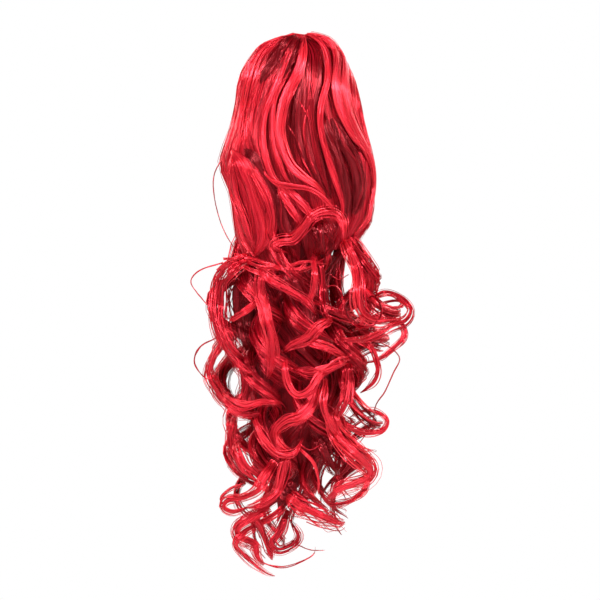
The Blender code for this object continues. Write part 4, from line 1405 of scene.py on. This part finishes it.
class HAIRPIECE_OT_crown(bpy.types.Operator):
    """Comb the smooth hair of the crown over its bulk"""

    bl_idname = "hairpiece.crown"
    bl_label = "Crown Hair"

    def execute(self, context):
        settings = context.scene.hairpiece_hair
        chance = random.Random(SEED)
        under = under_body("crown_under_hair", "crown_hair", under_material(settings))
        dress(under, "red_hair", "crown_hair")
        strand_material(settings)
        body_material(settings)
        sweeps = swept_guides(settings.crown_density, chance)
        locks = [draped_guide(row, settings.lock_density) for row in CROWN_LOCKS]
        for name, guides, fullness, splay in (
            ("crown_combed", sweeps, 0.95, 0.08),
            ("crown_front", locks, 0.8, 0.2),
        ):
            strands = {"strand_radius": settings.strand_radius, "splay": splay, "shortest": 0.12}
            dress_locks(name, guides, {"fullness": fullness}, strands)
        return {"FINISHED"}


class HAIRPIECE_OT_tail(bpy.types.Operator):
    """Curl the ringlets of the tail round its bulk"""

    bl_idname = "hairpiece.tail"
    bl_label = "Tail Hair"

    def execute(self, context):
        settings = context.scene.hairpiece_hair
        chance = random.Random(SEED + 1)
        fill = bpy.data.materials["red_combed_fill"]
        fibre = bpy.data.materials["red_strands"]
        core = grow("tail_core_fill", [core_guide()], bodies_tree, fill, **CORE_BODY)
        dress(core, "red_hair", "tail_hair")
        waves = wave_guides(settings.curl_density * WAVE_DENSITY_SHARE, chance)
        groups = [("tail_waves", waves, WAVE_ARC)]
        for name, members in RINGLET_GROUPS:
            guides = [
                curl_guide(row, share, settings.curl_density, chance)
                for row in CURLS
                if row.name in members
                for share in RINGLET_SHARES
            ]
            groups.append((name, guides, CURL_ARC))
        free = [free_guide(row, settings.lock_density * FREE_DENSITY_SHARE, chance) for row in FREE_LOCKS]
        half = len(free) // 2
        groups.append(("upper_front_curls", free[:half], FREE_ARC))
        groups.append(("lower_front_curls", free[half:], FREE_ARC))
        for number, (name, guides, arc) in enumerate(groups, 1):
            strands = {
                "strand_radius": settings.strand_radius,
                "arc": arc,
                "splay": TAIL_SPLAY,
                "seed": SEED + SEED_STEP * number,
            }
            dress_locks(name, guides, TAIL_BODY, strands)
        stray = [free_guide(row, settings.lock_density) for row in FLYAWAYS]
        loose = grow("flyaway_strands", stray, strands_tree, fibre, strand_radius=settings.flyaway_radius)
        dress(loose, "red_hair")
        return {"FINISHED"}


class HAIRPIECE_OT_clip(bpy.types.Operator):
    """Finish the claw clip in moulded plastic"""

    bl_idname = "hairpiece.clip"
    bl_label = "Claw Clip"

    def execute(self, context):
        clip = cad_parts["claw_clip"]
        material = clip_material(context.scene.hairpiece_clip)
        for slot in clip.material_slots:
            slot.material = material
        return {"FINISHED"}


def area_light(name, place, size, power):
    light = bpy.data.lights.new(name, "AREA")
    light.shape = "RECTANGLE"
    light.size = size[0]
    light.size_y = size[1]
    light.energy = power
    lamp = bpy.data.objects.new(name, light)
    lamp.location = place
    lamp.rotation_euler = (Vector(LIGHT_AIM) - Vector(place)).to_track_quat("-Z", "Y").to_euler()
    bpy.context.scene.collection.objects.link(lamp)


def studio_world(settings):
    """White all round at the eye's height, and dimmer above and below, to keep the hair's shadows."""
    world = bpy.data.worlds.new("studio")
    world.use_nodes = True
    nodes = Nodes(world.node_tree)
    direction = nodes.add("ShaderNodeTexCoord").outputs["Generated"]
    height = nodes.make("ShaderNodeSeparateXYZ", {0: direction}, "Z")
    heights = {
        "Value": nodes.math("ABSOLUTE", height),
        "From Min": WHITE_UP_TO,
        "From Max": DIM_FROM,
        "To Min": 1.0,
        "To Max": settings.world_strength,
    }
    strength = nodes.make("ShaderNodeMapRange", heights, "Result", interpolation_type="SMOOTHSTEP")
    background = {"Color": (1.0, 1.0, 1.0, 1.0), "Strength": strength}
    nodes.fill(world.node_tree.nodes["Background"], background)
    return world


class HAIRPIECE_OT_stage(bpy.types.Operator):
    """Set the pale floor, the soft lights and the camera"""

    bl_idname = "hairpiece.stage"
    bl_label = "Stage"

    def execute(self, context):
        settings = context.scene.hairpiece_stage
        scene = context.scene
        scene.view_settings.view_transform = "Standard"
        middle_z = TOP_Z - (PHOTO_SIZE / 2 - PHOTO_TOP_PIXEL) * STEP
        middle_x = (PHOTO_SIZE / 2 - PHOTO_MIDDLE_PIXEL) * STEP
        camera = bpy.data.cameras.new("camera")
        camera.sensor_width = SENSOR_WIDTH
        camera.lens = camera.sensor_width * settings.camera_distance / (PHOTO_SIZE * STEP)
        viewer = bpy.data.objects.new("camera", camera)
        viewer.location = (middle_x, -settings.camera_distance - TAIL_FORWARD, middle_z)
        viewer.rotation_euler = (math.pi / 2, 0.0, 0.0)
        scene.collection.objects.link(viewer)
        scene.camera = viewer

        floor_z = CAD_BOUNDS[0][2] - settings.floor_drop
        mesh = bpy.data.meshes.new("pale_floor")
        with editing(mesh) as work:
            bmesh.ops.create_circle(
                work, cap_ends=True, segments=FLOOR_SIDES, radius=settings.floor_radius
            )
            bmesh.ops.translate(work, vec=(0.0, 0.0, floor_z), verts=work.verts)
        floor = place_mesh("pale_floor", mesh)
        material, nodes, shader = new_material("pale_paper")
        nodes.fill(shader, {"Base Color": PAPER_COLOUR, "Roughness": 0.9})
        mesh.materials.append(material)

        scene.world = studio_world(settings)
        for name, place, size, power in STUDIO_LIGHTS:
            area_light(name, place, size, getattr(settings, power))
        return {"FINISHED"}


class HAIRPIECE_PT_panel(bpy.types.Panel):
    bl_idname = "HAIRPIECE_PT_panel"
    bl_label = "Ponytail Hairpiece"
    bl_space_type = "VIEW_3D"
    bl_region_type = "UI"
    bl_category = "Hairpiece"

    def draw(self, context):
        for group in ("hairpiece_hair", "hairpiece_clip", "hairpiece_stage"):
            settings = getattr(context.scene, group)
            box = self.layout.box()
            for name in settings.bl_rna.properties.keys():
                if name not in ("rna_type", "name"):
                    box.prop(settings, name)
        for operator in OPERATORS:
            self.layout.operator(operator.bl_idname)


SETTINGS = {
    "hairpiece_hair": HairSettings,
    "hairpiece_clip": ClipSettings,
    "hairpiece_stage": StageSettings,
}
OPERATORS = (HAIRPIECE_OT_crown, HAIRPIECE_OT_tail, HAIRPIECE_OT_clip, HAIRPIECE_OT_stage)


def register():
    for made in (*SETTINGS.values(), *OPERATORS, HAIRPIECE_PT_panel):
        bpy.utils.register_class(made)
    for name, group in SETTINGS.items():
        setattr(bpy.types.Scene, name, bpy.props.PointerProperty(type=group))


def unregister():
    for name in SETTINGS:
        delattr(bpy.types.Scene, name)
    for made in reversed((*SETTINGS.values(), *OPERATORS, HAIRPIECE_PT_panel)):
        bpy.utils.unregister_class(made)


def plain(corners):
    return [[float(part) for part in corner] for corner in corners]


def main():
    register()
    bpy.ops.hairpiece.crown()
    bpy.ops.hairpiece.tail()
    bpy.ops.hairpiece.clip()
    bpy.ops.hairpiece.stage()
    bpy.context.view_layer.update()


if __name__ == "__main__":
    main()
